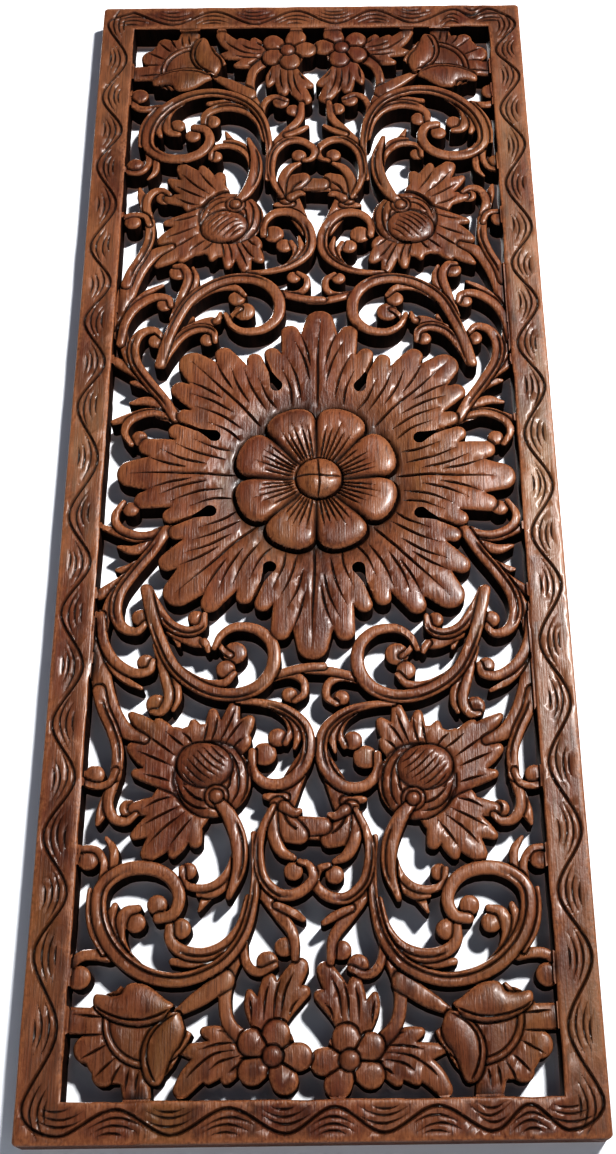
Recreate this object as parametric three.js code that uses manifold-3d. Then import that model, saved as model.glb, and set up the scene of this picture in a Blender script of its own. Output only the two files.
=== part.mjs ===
// Carved wall panel: one teak board, pierced and carved, with its plain border left standing round
// the openwork. The board hangs upright: width along X, height along Z, its flat back on the plane
// y = 0 and its carved face towards -Y. The origin is the middle of the back.
import * as THREE from 'three';
import { mergeVertices } from 'three/addons/utils/BufferGeometryUtils.js';
import Module from 'manifold-3d';

// Driving dimensions, in millimetres.
const boardWidth = 350;
const boardHeight = 900;
const boardThickness = 20;
const cornerRadius = 3;
const openingHalfWidth = 148.5;   // the border is what stands outside this opening
const openingHalfHeight = 426;
const scrollThickness = 15;       // scrolls, stems and leaves, cut back below the border
const axisShift = 2.5;            // the openwork's own centre line stands this far right of the board's

// Rosette in the middle of the board.
const rosette = { x: 3, z: -2, turn: -1.2 };
const leafCount = 8;
const leafRoot = 52;
const lobes = [                   // angle from the leaf's own axis, reach, root width and lobe width
  { angle: 0, reach: 142, root: 24, belly: 31, tip: 17 },
  { angle: 9.6, reach: 130, root: 18, belly: 20, tip: 11 },
  { angle: -9.6, reach: 130, root: 18, belly: 20, tip: 11 },
  { angle: 18.4, reach: 114, root: 16, belly: 17, tip: 12 },
  { angle: -18.4, reach: 114, root: 16, belly: 17, tip: 12 },
];
const teardrop = { start: 76, end: 93, radius: 4.6 };
const flower = { x: 3, z: -5, petalCount: 8, reach: 58, petalWidth: 38, top: 18.5 };
const button = { x: 5, z: -5, radius: 16.5, top: 20 };

// Outline steps: a ribbon gets a new point after this much turn, or after this much length.
const turnStep = 20;
const lengthStep = 20;
const eyeSides = 14;
const outlineSlack = 1.7;         // a point of the cut outline is left out if it moves it less
const domeBase = 13.5;            // where the domed parts are widest
const smallestHole = 30;          // square millimetres

// One quarter of the openwork, drawn for the bottom right: u runs out from the centre line, v down
// from the middle. Each ribbon has its widths at the root, belly and tip, and the points of its spine.
const ribbons = [
  // corner flower: two pods, and petals that fan out to the corner
  [[4, 22, 5], [[83, 377], [90, 388], [95, 401], [92, 417]]],
  [[4, 27, 5], [[86, 373], [101, 372], [116, 371.5], [133, 369]]],
  [[14, 15, 16], [[102, 388], [103, 411], [103, 428]]],
  [[14, 19, 15], [[110, 390], [120, 409], [123, 413]]],
  [[14, 20, 15], [[112, 386], [130, 397.5], [136.5, 398.5]]],
  [[12, 15, 16], [[114, 380], [133, 380.5], [151, 380]]],
  // stem and wedge that carry them
  [[10, 7, 8], [[40, 394], [50, 384], [53.5, 370], [52, 356], [47, 343]]],
  [[14, 10, 5], [[55, 358], [66, 366], [83, 376]]],
  [[4, 6, 4], [[23, 350], [32, 354], [39, 351], [43, 342], [43, 328]]],
  // large scroll and its branches
  [[4, 11, 7.5], [[40, 268], [38, 287], [38.5, 310], [44, 332], [57, 347], [78, 356.5], [98, 355.5],
    [115, 347], [128, 333], [134.5, 316], [133, 300], [120, 290], [104, 289], [91, 295], [84.5, 307],
    [88, 318], [97, 320.5]]],
  [[5, 12, 4], [[110, 349], [121, 338], [124, 325], [118, 316], [110, 314.5]]],
  [[3, 5.5, 3], [[130, 341], [137.5, 328], [140.5, 314], [141, 302]]],
  [[4, 9, 5], [[42, 308], [46, 325], [54, 336], [67, 341.5], [80, 340], [88, 333], [89.5, 324]]],
  [[4, 6, 5], [[47, 333], [60, 343], [74, 347], [86, 346]]],
  [[7, 7, 6], [[127, 343], [136, 341.5], [144, 342.5], [152, 349]]],
  // spur and hook under the large scroll
  [[6, 6, 2.5], [[131, 296], [127.5, 285], [128.5, 276], [133.5, 269]]],
  [[6, 5, 5], [[134, 298], [133.5, 286], [138, 277.5], [145, 275.5], [152, 277]]],
  // hooks and stem along the side of the border
  [[4, 7, 8], [[116, 254], [122, 258], [130, 255.5], [134.5, 246], [132, 232], [130.5, 222]]],
  [[8, 8, 3], [[133, 236], [137, 249], [140, 260]]],
  [[8, 8, 9], [[131, 228], [131, 212], [136, 197], [143, 183], [147, 170]]],
  [[5, 5, 5], [[131, 224], [135, 232], [143, 234], [152, 232]]],
  [[6, 14, 6], [[114, 204], [128, 197], [139, 182], [145.5, 162], [148, 140], [150, 118]]],
  // bud: wrapped petals on both sides
  [[5, 15, 6], [[58, 254], [47, 241], [46, 226], [54, 209]]],
  [[6, 16, 8], [[58, 253], [74, 251], [86, 242], [92, 228]]],
  // stem of the bud, its curl and the leaves between
  [[8, 11, 4], [[64, 243], [56, 256], [49.5, 272], [48.5, 290], [54, 308]]],
  [[4, 5.5, 4], [[51, 272], [53.5, 288], [61, 298.5], [72, 302], [82, 298.5], [84, 289]]],
  [[5, 6.5, 3], [[50, 288], [57, 300], [65, 305.5], [73, 306]]],
  [[4, 6, 2], [[58, 300], [67, 307], [72, 316]]],
  // centre column
  [[4, 7.5, 4], [[28, 250], [34, 263], [36.5, 278], [33, 296], [22, 306.5], [10, 305.5], [3.5, 297],
    [5, 288.5], [10, 286]]],
  [[5, 8, 5], [[38, 288], [33, 304], [22, 318], [12.5, 331], [11, 346]]],
  [[6, 6, 4], [[24, 313], [14, 317.5], [7, 322]]],
  [[8, 8, 4], [[29, 252], [27.5, 268], [22, 279], [14, 283.5]]],
  [[12, 15, 10], [[28, 266], [22, 250], [17, 236], [9, 218]]],
  [[8, 6, 4], [[21, 250], [15, 254], [11, 253]]],
  [[8, 6, 4], [[20, 244], [29, 243.5], [33.5, 243]]],
  // scroll beside the axis
  [[4, 8, 5.5], [[54, 177.5], [38, 178.5], [22, 183.5], [10, 194], [6, 208], [9.5, 224], [21, 234],
    [34, 234], [41.5, 225], [42, 213]]],
  [[5, 12, 4], [[30, 181], [18, 188], [14.5, 200], [20, 208]]],
  [[6, 6, 4], [[31, 160], [19, 158], [10.5, 163], [9.5, 172], [16, 177.5]]],
  [[6, 6.5, 6], [[-2, 152.5], [12, 153.5], [29, 158]]],
  // ring beside the rosette and what it throws off
  [[8, 9.5, 4], [[119, 95], [114.5, 114], [108, 134], [97, 155], [79, 168], [59, 172.5], [42, 167.5],
    [32, 154], [32, 137], [41.5, 126], [56, 123.5], [66, 129], [71, 139]]],
  [[4, 4, 4], [[68, 136], [63, 141]]],
  [[4, 7, 4], [[100, 148], [90, 158], [77, 165], [64, 164], [57, 157]]],
  [[5, 8, 4], [[117, 94], [111, 108], [102, 122], [90, 127.5], [80, 124], [78, 115]]],
  [[6, 5, 3], [[104, 120], [98, 130], [95, 138]]],
  [[8, 9, 7], [[100, 126], [86, 133], [77, 135]]],
  [[6, 7, 4], [[110, 138], [104, 160], [100, 175], [104, 185], [110, 185]]],
  [[4, 6, 3], [[107, 148], [97, 163], [94, 175], [96.5, 184]]],
  [[7, 7.5, 4], [[149, 115], [146, 134], [138, 149], [125, 158], [114.5, 157], [112, 150]]],
  [[5, 6, 3], [[147, 134], [141, 150], [131, 162], [119, 169]]],
  [[8, 9, 4], [[107, 48], [116, 64], [128, 81], [137, 97], [139, 112], [134, 124], [124, 127.5],
    [117.5, 121]]],
  [[6, 8, 7], [[133, 86], [142, 101], [146, 116], [148, 131]]],
  [[7, 7, 3], [[122, 72], [132, 78], [140, 79.5]]],
  [[8, 8, 3], [[110, 52], [127, 63], [140, 61]]],
  [[8, 7.5, 5], [[106, 47], [126, 53], [139, 50], [152, 45]]],
  [[6, 8, 8], [[128, 80], [138, 89], [152, 99]]],
  [[5, 6.5, 4], [[110, 49], [126, 52], [140, 46], [144, 36], [139, 26]]],
];

// Round ends: the eyes of the scrolls, as u, v and radius.
const eyes = [
  [28, 348, 5.8], [98, 312, 5.8], [111, 323, 5.8], [83, 327, 6], [144, 356, 5.7], [144, 284, 5.3],
  [121, 250, 5.3], [144.5, 226, 4.8], [80, 291, 5], [14, 292, 5.5], [18, 339, 5.5], [13, 266, 9.5],
  [33, 214.5, 6.4], [26.5, 203, 5.8], [19.5, 173, 4.8], [57, 142, 7.5], [63, 154, 6], [84, 117, 5],
  [108, 180, 6.3], [117, 151, 5.3], [122, 117, 5.5], [133, 31, 5.3],
  [7.5, 405, 9.4], [15.5, 418.5, 9], [34, 411, 8.7], [33, 395.5, 8.7], [19, 391, 9.4],
];

// Leaf fans: every lobe springs from near one root and ends at its own tip, u, v and width.
const fans = [
  { root: [40, 398], tips: [[77, 416, 13], [61, 413, 11], [50, 415, 9], [76, 398, 11], [63, 388, 10]] },
  { root: [23, 387], tips: [[8, 368, 9], [11, 352, 13], [26, 361, 11], [37, 369, 9]] },
  { root: [82, 248], tips: [[77, 271, 8], [90, 278, 11], [104, 277, 14], [113, 266, 11], [117, 250, 10]] },
  { root: [84, 226], tips: [[117, 227, 10], [120, 210, 14], [118, 201, 10], [122, 188, 10],
    [105, 193, 9], [93, 199, 9]] },
  { root: [64, 216], tips: [[82, 194, 10], [70, 187, 10], [57, 183, 11], [46, 192, 11], [47, 204, 8]] },
];

// Domed parts, as u, v, half widths along and across, the way they lie, and their top.
const domes = [
  [72, 225, 19, 15, 0, 19.5],      // bud
  [93, 396, 19, 9, 74, 18.5],      // pods of the corner flower
  [110, 371.5, 22, 11, 0, 18.5],
];

// The four quarters follow one pattern, but each was struck by hand: at each of these places of the
// pattern a quarter stands a few millimetres out and down from the first.
const strikePlaces = [[22, 404], [112, 393], [98, 313], [65, 243], [52, 149], [117, 151], [133, 31]];
const quarters = [
  { side: 1, end: -1, strikes: [[0, 0], [0, 0], [0, 0], [0, 0], [0, 0], [0, 0], [0, 0]] },
  { side: -1, end: -1, strikes: [[7, -3], [4, 0], [4, -2.5], [2, -3], [0, -2], [0, -5], [0, -2]] },
  { side: 1, end: 1, strikes: [[3, 2.5], [2, 4], [4.5, 1.5], [5, -3.5], [0, -4], [-1, -3.5], [0, -4.5]] },
  { side: -1, end: 1, strikes: [[3, 0], [2, 1.5], [3, 0.5], [0, -1.5], [-1, -2], [0, -4.5], [-3, -1.5]] },
];

const wasm = await Module();
wasm.setup();

function solid(geometry) {
  const plain = new THREE.BufferGeometry();
  plain.setAttribute('position', geometry.getAttribute('position'));
  plain.setIndex(geometry.getIndex());
  const merged = mergeVertices(plain, 1e-4);
  return new wasm.Manifold(new wasm.Mesh({
    numProp: 3,
    vertProperties: new Float32Array(merged.getAttribute('position').array),
    triVerts: new Uint32Array(merged.getIndex().array),
  }));
}

function plate(points, depth) {
  const shape = new THREE.Shape(points);
  return solid(new THREE.ExtrudeGeometry(shape, { depth, bevelEnabled: false }));
}

function throughCut(points) {
  return plate(points, boardThickness * 2).translate([0, 0, -boardThickness / 2]);
}

function join(solids) {
  let row = solids;
  while (row.length > 1) {
    const next = [];
    for (let i = 0; i < row.length; i += 2) {
      next.push(i + 1 < row.length ? row[i].add(row[i + 1]) : row[i]);
    }
    row = next;
  }
  return row[0];
}

// Where a point of the pattern lies on the board, in one quarter.
function place(quarter, u, v) {
  let sum = 0;
  let du = 0;
  let dv = 0;
  strikePlaces.forEach(([pu, pv], i) => {
    const weight = 1 / ((u - pu) ** 2 + (v - pv) ** 2 + 100);
    sum += weight;
    du += weight * quarter.strikes[i][0];
    dv += weight * quarter.strikes[i][1];
  });
  const x = axisShift + quarter.side * (u + du / sum - axisShift);
  return new THREE.Vector2(x, quarter.end * (v + dv / sum));
}

// Width at a fraction t of the length, eased through the root, belly and tip widths.
function widthAt([root, belly, tip], t) {
  if (t < 0.5) {
    return root + (belly - root) * Math.sin(Math.PI * t);
  }
  return belly + (tip - belly) * (1 - Math.sin(Math.PI * t));
}

// Outline of a ribbon whose spine is a smooth curve, with points only where it turns.
function ribbonOutline(spine, widths) {
  const curve = new THREE.SplineCurve(spine);
  const fine = Math.max(12, spine.length * 8);
  const kept = [0];
  let turned = 0;
  let run = 0;
  for (let i = 1; i < fine; i += 1) {
    const before = curve.getTangent((i - 1) / fine);
    const after = curve.getTangent(i / fine);
    const turn = Math.acos(THREE.MathUtils.clamp(before.dot(after), -1, 1));
    const step = curve.getPoint(i / fine).distanceTo(curve.getPoint((i - 1) / fine));
    turned += THREE.MathUtils.radToDeg(turn);
    run += step;
    if (turned > turnStep || run > lengthStep) {
      kept.push(i / fine);
      turned = 0;
      run = 0;
    }
  }
  kept.push(1);
  const left = [];
  const right = [];
  kept.forEach((t) => {
    const point = curve.getPoint(t);
    const along = curve.getTangent(t);
    const half = widthAt(widths, t) / 2;
    left.push(new THREE.Vector2(point.x - along.y * half, point.y + along.x * half));
    right.push(new THREE.Vector2(point.x + along.y * half, point.y - along.x * half));
  });
  const tip = curve.getPoint(1).addScaledVector(curve.getTangent(1), widths[2] / 2);
  return [...left, tip, ...right.reverse()];
}

function ribbon(spine, widths, depth) {
  return plate(ribbonOutline(spine, widths), depth);
}

function disc(centre, radius, depth, sides) {
  const geometry = new THREE.CylinderGeometry(radius, radius, depth, sides);
  geometry.rotateX(Math.PI / 2);
  geometry.translate(centre.x, centre.y, depth / 2);
  return solid(geometry);
}

// A low dome: the upper part of a flattened ball, standing in the board.
function dome(centre, along, across, turn, top, base) {
  const geometry = new THREE.SphereGeometry(1, 8, 4);
  geometry.rotateX(Math.PI / 2);
  geometry.scale(along, across, top - base);
  geometry.rotateZ(THREE.MathUtils.degToRad(turn));
  geometry.translate(centre.x, centre.y, base);
  return solid(geometry);
}

function quarterRibbons(quarter) {
  const parts = [];
  ribbons.forEach(([widths, spine]) => {
    parts.push(ribbon(spine.map(([u, v]) => place(quarter, u, v)), widths, scrollThickness));
  });
  eyes.forEach(([u, v, radius]) => {
    parts.push(disc(place(quarter, u, v), radius, scrollThickness, eyeSides));
  });
  fans.forEach(({ root, tips }) => {
    tips.forEach(([u, v, width]) => {
      const from = place(quarter, ...root);
      const to = place(quarter, u, v);
      const belly = from.clone().lerp(to, 0.55);
      parts.push(ribbon([from, belly, to], [width * 0.6, width, width * 0.6], scrollThickness));
    });
  });
  return parts;
}

function quarterDomes(quarter) {
  return domes.map(([u, v, along, across, turn, top]) => {
    const lie = -turn * quarter.side * quarter.end;
    return dome(place(quarter, u, v), along, across, lie, top, domeBase);
  });
}

function polar(centre, radius, degrees) {
  const angle = THREE.MathUtils.degToRad(degrees);
  return new THREE.Vector2(centre.x + radius * Math.cos(angle), centre.z + radius * Math.sin(angle));
}

function rosetteLeaves() {
  const parts = [disc(new THREE.Vector2(rosette.x, rosette.z), 80, scrollThickness, 24)];
  for (let leaf = 0; leaf < leafCount; leaf += 1) {
    const axis = rosette.turn + (360 / leafCount) * leaf;
    lobes.forEach(({ angle, reach, root, belly, tip }) => {
      const spine = [
        polar(rosette, leafRoot, axis + angle * 0.7),
        polar(rosette, (leafRoot + reach) / 2, axis + angle * 0.9),
        polar(rosette, reach - tip / 2, axis + angle),
      ];
      parts.push(ribbon(spine, [root, belly, tip], scrollThickness));
    });
  }
  return parts;
}

function rosetteDomes() {
  const parts = [];
  for (let petal = 0; petal < flower.petalCount; petal += 1) {
    const axis = 360 / flower.petalCount * (petal + 0.5);
    const middle = polar(flower, flower.reach * 0.6, axis);
    parts.push(dome(middle, flower.reach * 0.42, flower.petalWidth / 2, axis, flower.top, domeBase));
  }
  const middle = new THREE.Vector2(button.x, button.z);
  parts.push(dome(middle, button.radius, button.radius, 0, button.top, domeBase));
  return parts;
}

// The small drop-shaped holes between the leaves of the rosette.
function teardrops() {
  const drops = [];
  for (let leaf = 0; leaf < leafCount; leaf += 1) {
    const axis = rosette.turn + (360 / leafCount) * (leaf + 0.5);
    const centre = polar(rosette, teardrop.start + teardrop.radius, axis);
    const points = [polar(rosette, teardrop.end, axis)];
    for (let k = 0; k <= 4; k += 1) {
      points.push(polar({ x: centre.x, z: centre.y }, teardrop.radius, axis + 80 + 50 * k));
    }
    drops.push(throughCut(points));
  }
  return drops;
}

function roundedRectangle(halfWidth, halfHeight, radius) {
  const shape = new THREE.Shape();
  shape.moveTo(halfWidth - radius, -halfHeight);
  shape.absarc(halfWidth - radius, -halfHeight + radius, radius, -Math.PI / 2, 0);
  shape.absarc(halfWidth - radius, halfHeight - radius, radius, 0, Math.PI / 2);
  shape.absarc(-halfWidth + radius, halfHeight - radius, radius, Math.PI / 2, Math.PI);
  shape.absarc(-halfWidth + radius, -halfHeight + radius, radius, Math.PI, Math.PI * 1.5);
  return shape;
}

function borderSolid(depth) {
  const outer = roundedRectangle(boardWidth / 2, boardHeight / 2, cornerRadius);
  const opening = new THREE.Path([
    new THREE.Vector2(-openingHalfWidth, -openingHalfHeight),
    new THREE.Vector2(-openingHalfWidth, openingHalfHeight),
    new THREE.Vector2(openingHalfWidth, openingHalfHeight),
    new THREE.Vector2(openingHalfWidth, -openingHalfHeight),
  ]);
  outer.holes.push(opening);
  return solid(new THREE.ExtrudeGeometry(outer, { depth, bevelEnabled: false, curveSegments: 3 }));
}

// Closed outlines of the face at one height: the outer edge runs anticlockwise, holes clockwise.
function faceLoops(manifold, height) {
  const { vertProperties, triVerts, numProp } = manifold.getMesh();
  const edges = new Map();
  for (let t = 0; t < triVerts.length; t += 3) {
    const corners = [triVerts[t], triVerts[t + 1], triVerts[t + 2]];
    if (corners.every((c) => Math.abs(vertProperties[c * numProp + 2] - height) < 1e-3)) {
      corners.forEach((c, i) => {
        const d = corners[(i + 1) % 3];
        if (edges.has(`${d},${c}`)) {
          edges.delete(`${d},${c}`);
        } else {
          edges.set(`${c},${d}`, [c, d]);
        }
      });
    }
  }
  const onward = new Map();
  edges.forEach(([c, d]) => onward.set(c, [...(onward.get(c) ?? []), d]));
  const loops = [];
  onward.forEach((ends, start) => {
    while (ends.length > 0) {
      const loop = [];
      let corner = start;
      do {
        const at = corner * numProp;
        loop.push(new THREE.Vector2(vertProperties[at], vertProperties[at + 1]));
        corner = onward.get(corner).pop();
      } while (corner !== start);
      loops.push(loop);
    }
  });
  return loops;
}

// Leaves out the points of an open run that move its line by less than the slack.
function thinRun(points, slack) {
  const first = points[0];
  const last = points[points.length - 1];
  const chord = last.clone().sub(first);
  let worst = 0;
  let split = 0;
  for (let i = 1; i < points.length - 1; i += 1) {
    const away = points[i].clone().sub(first);
    const reach = THREE.MathUtils.clamp(away.dot(chord) / Math.max(chord.lengthSq(), 1e-9), 0, 1);
    const gap = away.addScaledVector(chord, -reach).length();
    if (gap > worst) {
      worst = gap;
      split = i;
    }
  }
  if (worst < slack) {
    return [first, last];
  }
  const before = thinRun(points.slice(0, split + 1), slack);
  return [...before.slice(0, -1), ...thinRun(points.slice(split), slack)];
}

function thinLoop(loop, slack) {
  let far = 0;
  loop.forEach((point, i) => {
    if (point.distanceTo(loop[0]) > loop[far].distanceTo(loop[0])) {
      far = i;
    }
  });
  const there = thinRun(loop.slice(0, far + 1), slack);
  const back = thinRun([...loop.slice(far), loop[0]], slack);
  return [...there.slice(0, -1), ...back.slice(0, -1)];
}

function side(a, b, c) {
  return Math.sign((b.x - a.x) * (c.y - a.y) - (b.y - a.y) * (c.x - a.x));
}

function crossesItself(loop) {
  return loop.some((a, i) => {
    const b = loop[(i + 1) % loop.length];
    return loop.slice(i + 2).some((c, j) => {
      const d = loop[(i + j + 3) % loop.length];
      return d !== a && side(a, b, c) !== side(a, b, d) && side(c, d, a) !== side(c, d, b);
    });
  });
}

// A sawn outline, thinned as far as it can be without crossing itself.
function tidyLoop(loop) {
  let slack = outlineSlack;
  let tidy = thinLoop(loop, slack);
  while (crossesItself(tidy) && slack > 0.01) {
    slack /= 2;
    tidy = thinLoop(loop, slack);
  }
  return tidy;
}

// The holes that the saw cuts through the openwork, as solids that run past both faces.
function sawnHoles(flatParts) {
  const flat = join([...flatParts, borderSolid(scrollThickness)]);
  const loops = faceLoops(flat, scrollThickness);
  const holes = loops.filter((loop) => THREE.ShapeUtils.area(loop) < -smallestHole);
  return holes.map((loop) => throughCut(tidyLoop(loop)));
}

function panelGeometry() {
  const flatParts = [...quarters.flatMap(quarterRibbons), ...rosetteLeaves()];
  const cuts = [...sawnHoles(flatParts), ...teardrops()];
  const raised = [...quarters.flatMap(quarterDomes), ...rosetteDomes(), borderSolid(boardThickness)];
  const outline = roundedRectangle(boardWidth / 2, boardHeight / 2, cornerRadius).getPoints(3);
  const ground = plate(outline, scrollThickness);
  const board = ground.subtract(join(cuts)).add(join(raised));
  const mesh = board.getMesh();
  const geometry = new THREE.BufferGeometry();
  geometry.setAttribute('position', new THREE.BufferAttribute(mesh.vertProperties, 3));
  geometry.setIndex(new THREE.BufferAttribute(mesh.triVerts, 1));
  geometry.rotateX(Math.PI / 2);
  return geometry;
}

const teak = new THREE.MeshStandardMaterial({ color: 0x8a4a2b, roughness: 0.48, metalness: 0 });
const panel = new THREE.Mesh(panelGeometry(), teak);
panel.name = 'carved_panel';

const group = new THREE.Group();
group.add(panel);
export default group;
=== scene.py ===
import math

import bmesh
import bpy
import numpy as np
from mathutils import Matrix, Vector, geometry


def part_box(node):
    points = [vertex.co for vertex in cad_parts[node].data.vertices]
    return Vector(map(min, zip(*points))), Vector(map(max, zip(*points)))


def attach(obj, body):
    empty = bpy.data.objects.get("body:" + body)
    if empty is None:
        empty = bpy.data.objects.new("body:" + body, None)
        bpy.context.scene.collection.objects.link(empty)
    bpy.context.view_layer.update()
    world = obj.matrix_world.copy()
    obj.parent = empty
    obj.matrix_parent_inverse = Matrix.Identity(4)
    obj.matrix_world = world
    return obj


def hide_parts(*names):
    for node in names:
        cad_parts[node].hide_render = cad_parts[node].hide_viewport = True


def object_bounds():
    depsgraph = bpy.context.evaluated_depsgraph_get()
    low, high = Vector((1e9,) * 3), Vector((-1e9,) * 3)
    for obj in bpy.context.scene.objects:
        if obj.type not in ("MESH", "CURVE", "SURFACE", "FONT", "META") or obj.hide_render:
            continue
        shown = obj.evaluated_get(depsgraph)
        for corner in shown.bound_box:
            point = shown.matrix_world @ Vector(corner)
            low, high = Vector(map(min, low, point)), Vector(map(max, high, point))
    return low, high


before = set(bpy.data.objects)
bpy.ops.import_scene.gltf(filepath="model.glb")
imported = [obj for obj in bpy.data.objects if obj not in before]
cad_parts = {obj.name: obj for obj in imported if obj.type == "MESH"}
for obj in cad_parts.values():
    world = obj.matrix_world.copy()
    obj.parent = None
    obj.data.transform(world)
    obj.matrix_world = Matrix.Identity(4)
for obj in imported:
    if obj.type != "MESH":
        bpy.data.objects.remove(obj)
cadLow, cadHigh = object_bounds()
mm = 0.001

# the board, in millimetres: x to the right, z up, heights over the flat back
board = {
    "halfWidth": cadHigh.x / mm, "halfHeight": cadHigh.z / mm, "thick": (cadHigh.y - cadLow.y) / mm,
    "corner": 3.0,                              # radius of the outer corners
    "openingHalfWidth": 148.5, "openingHalfHeight": 426.0,
    "axisShift": 2.5,                           # the openwork's centre line stands this far right
    "step": 0.6,                                # distance between the samples of the relief
    "levels": {3: 15.4, 4: 16.2, 5: 16.9, 6: 17.6, 7: 18.4},     # crown height of each layer
    "triangles": 172000,                        # left after thinning, before the back is closed
}

margin = 2.0
xLine = np.arange(-board["halfWidth"] - margin, board["halfWidth"] + margin, board["step"])
zLine = np.arange(-board["halfHeight"] - margin, board["halfHeight"] + margin, board["step"])
gridX, gridZ = np.meshgrid(xLine, zLine)
depthIn = np.full(gridX.shape, -9.0)            # how far inside the wood a sample lies
height = np.full(gridX.shape, -1.0)             # the carved face
paintedCutShade = np.zeros(gridX.shape)                   # painted shade laid in the cuts, grooves and creases


def span(lowX, highX, lowZ, highZ):             # the samples inside a rectangle
    i0, i1 = np.searchsorted(xLine, (lowX, highX))
    j0, j1 = np.searchsorted(zLine, (lowZ, highZ))
    return slice(j0, j1), slice(i0, i1)


def ease(value, low, high):                     # 0 below low, 1 above high, smooth between
    t = np.clip((value - low) / (high - low), 0, 1)
    return t * t * (3 - 2 * t)


def valueNoise(seed, cellX, cellZ):             # smooth noise between -1 and 1, cells in millimetres
    rng = np.random.default_rng(seed)
    nx, nz = int(360 / cellX) + 4, int(910 / cellZ) + 4
    knots = rng.uniform(-1, 1, (nz, nx))
    fx = (gridX - xLine[0]) / cellX
    fz = (gridZ - zLine[0]) / cellZ
    ix, iz = fx.astype(int), fz.astype(int)
    tx, tz = ease(fx - ix, 0, 1), ease(fz - iz, 0, 1)
    low = knots[iz, ix] * (1 - tx) + knots[iz, ix + 1] * tx
    high = knots[iz + 1, ix] * (1 - tx) + knots[iz + 1, ix + 1] * tx
    return low * (1 - tz) + high * tz


# A smooth line through the points, with how far along it each point lies.
def smoothLine(points, perLeg=8, closed=False):
    p = np.array(points, float)
    ends = (p[-2], p[1]) if closed else (2 * p[0] - p[1], 2 * p[-1] - p[-2])
    p = np.vstack([ends[0], p, ends[1]])
    out, fraction = [], []
    legs = len(p) - 3
    for k in range(legs):
        a, b, c, d = p[k:k + 4]
        for s in range(perLeg):
            t = s / perLeg
            out.append(0.5 * (2 * b + (c - a) * t + (2 * a - 5 * b + 4 * c - d) * t * t
                              + (3 * b - a - 3 * c + d) * t ** 3))
            fraction.append((k + t) / legs)
    return np.array(out + [p[-2]]), np.array(fraction + [1.0])


def widthAt(widths, t):                         # width along a stroke, eased from root to belly to tip
    root, belly, tip = widths
    first = root + (belly - root) * np.sin(np.pi * t)
    second = belly + (tip - belly) * (1 - np.sin(np.pi * t))
    return np.where(t < 0.5, first, second)


# Distance field of a stroke: how deep each sample lies in it, where it lies across and along it.
def strokeField(line, fraction, half, reach=3.0):
    grow = half.max() + reach
    area = span(line[:, 0].min() - grow, line[:, 0].max() + grow,
                line[:, 1].min() - grow, line[:, 1].max() + grow)
    x, z = gridX[area], gridZ[area]
    deep, across, along = np.full(x.shape, -9.0), np.zeros(x.shape), np.zeros(x.shape)
    wide = np.ones(x.shape)
    i0, j0 = area[1].start, area[0].start
    for k in range(len(line) - 1):
        a, b = line[k], line[k + 1]
        w = max(half[k], half[k + 1]) + reach
        part = span(min(a[0], b[0]) - w, max(a[0], b[0]) + w, min(a[1], b[1]) - w, max(a[1], b[1]) + w)
        s = (slice(part[0].start - j0, part[0].stop - j0), slice(part[1].start - i0, part[1].stop - i0))
        px, pz = x[s] - a[0], z[s] - a[1]
        leg = b - a
        square = max(leg @ leg, 1e-9)
        t = np.clip((px * leg[0] + pz * leg[1]) / square, 0, 1)
        away = np.hypot(px - t * leg[0], pz - t * leg[1])
        w = half[k] + (half[k + 1] - half[k]) * t
        d = w - away
        better = d > deep[s]
        side = np.sign(leg[0] * pz - leg[1] * px)
        deep[s] = np.where(better, d, deep[s])
        across[s] = np.where(better, side * away / np.maximum(w, 0.1), across[s])
        along[s] = np.where(better, fraction[k] + (fraction[k + 1] - fraction[k]) * t, along[s])
        wide[s] = np.where(better, w, wide[s])
    return area, deep, across, along, wide


# Lays one carved form over what is there: inside it takes the form's own height, and a stop cut runs
# round it.
def layForm(area, deep, face, stopWidth=1.6, stopDepth=1.6):
    under, wood = height[area], depthIn[area]
    inside = deep > 0
    covered = wood > 0
    sunk = under - stopDepth * ease(deep, -stopWidth, 0)
    around = np.where(covered & (deep > -stopWidth), np.maximum(sunk, 9.0), under)
    edge = np.maximum(face, under - stopDepth - 0.6)
    laid = np.where(covered, edge, face)
    rim = ~covered & ~inside & (deep > -1.5)
    height[area] = np.where(inside, laid, np.where(rim, np.maximum(face, under), around))
    depthIn[area] = np.maximum(wood, deep)
    # painted shade in the stop cut round the form; under the form's inside most of the shade is taken off
    cut = ease(deep, -stopWidth, -0.2) * (1 - ease(deep, -0.2, 1.0))
    paintedCutShade[area] = np.where(covered, np.maximum(paintedCutShade[area] * (1 - inside * 0.85), 0.8 * cut), paintedCutShade[area])


# Several forms joined into one plate keep small depths along their seams, so the distance to the plate's
# own outline is worked out again, sample by sample, up to a limit.
def settle(deep, limit=4.0):
    wood = deep > 0
    shifts = [(a, b) for a in (-1, 0, 1) for b in (-1, 0, 1) if a or b]
    nearGap = np.zeros(deep.shape, bool)
    for shift in shifts:
        nearGap |= np.roll(~wood, shift, (0, 1))
    step = board["step"]
    away = np.where(wood & ~nearGap, limit, np.minimum(deep, step))
    for _ in range(int(limit / step) + 1):
        near = away
        for shift in shifts:
            near = np.minimum(near, np.roll(away, shift, (0, 1)) + step * math.hypot(*shift))
        away = np.where(wood, near, away)
    return away


def rounded(deep, radius, drop):                # how far a face falls near its edge
    e = np.clip(deep / radius, 0, 1)
    return drop * (1 - np.sqrt(np.maximum(1 - (1 - e) ** 2, 0)))


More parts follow.
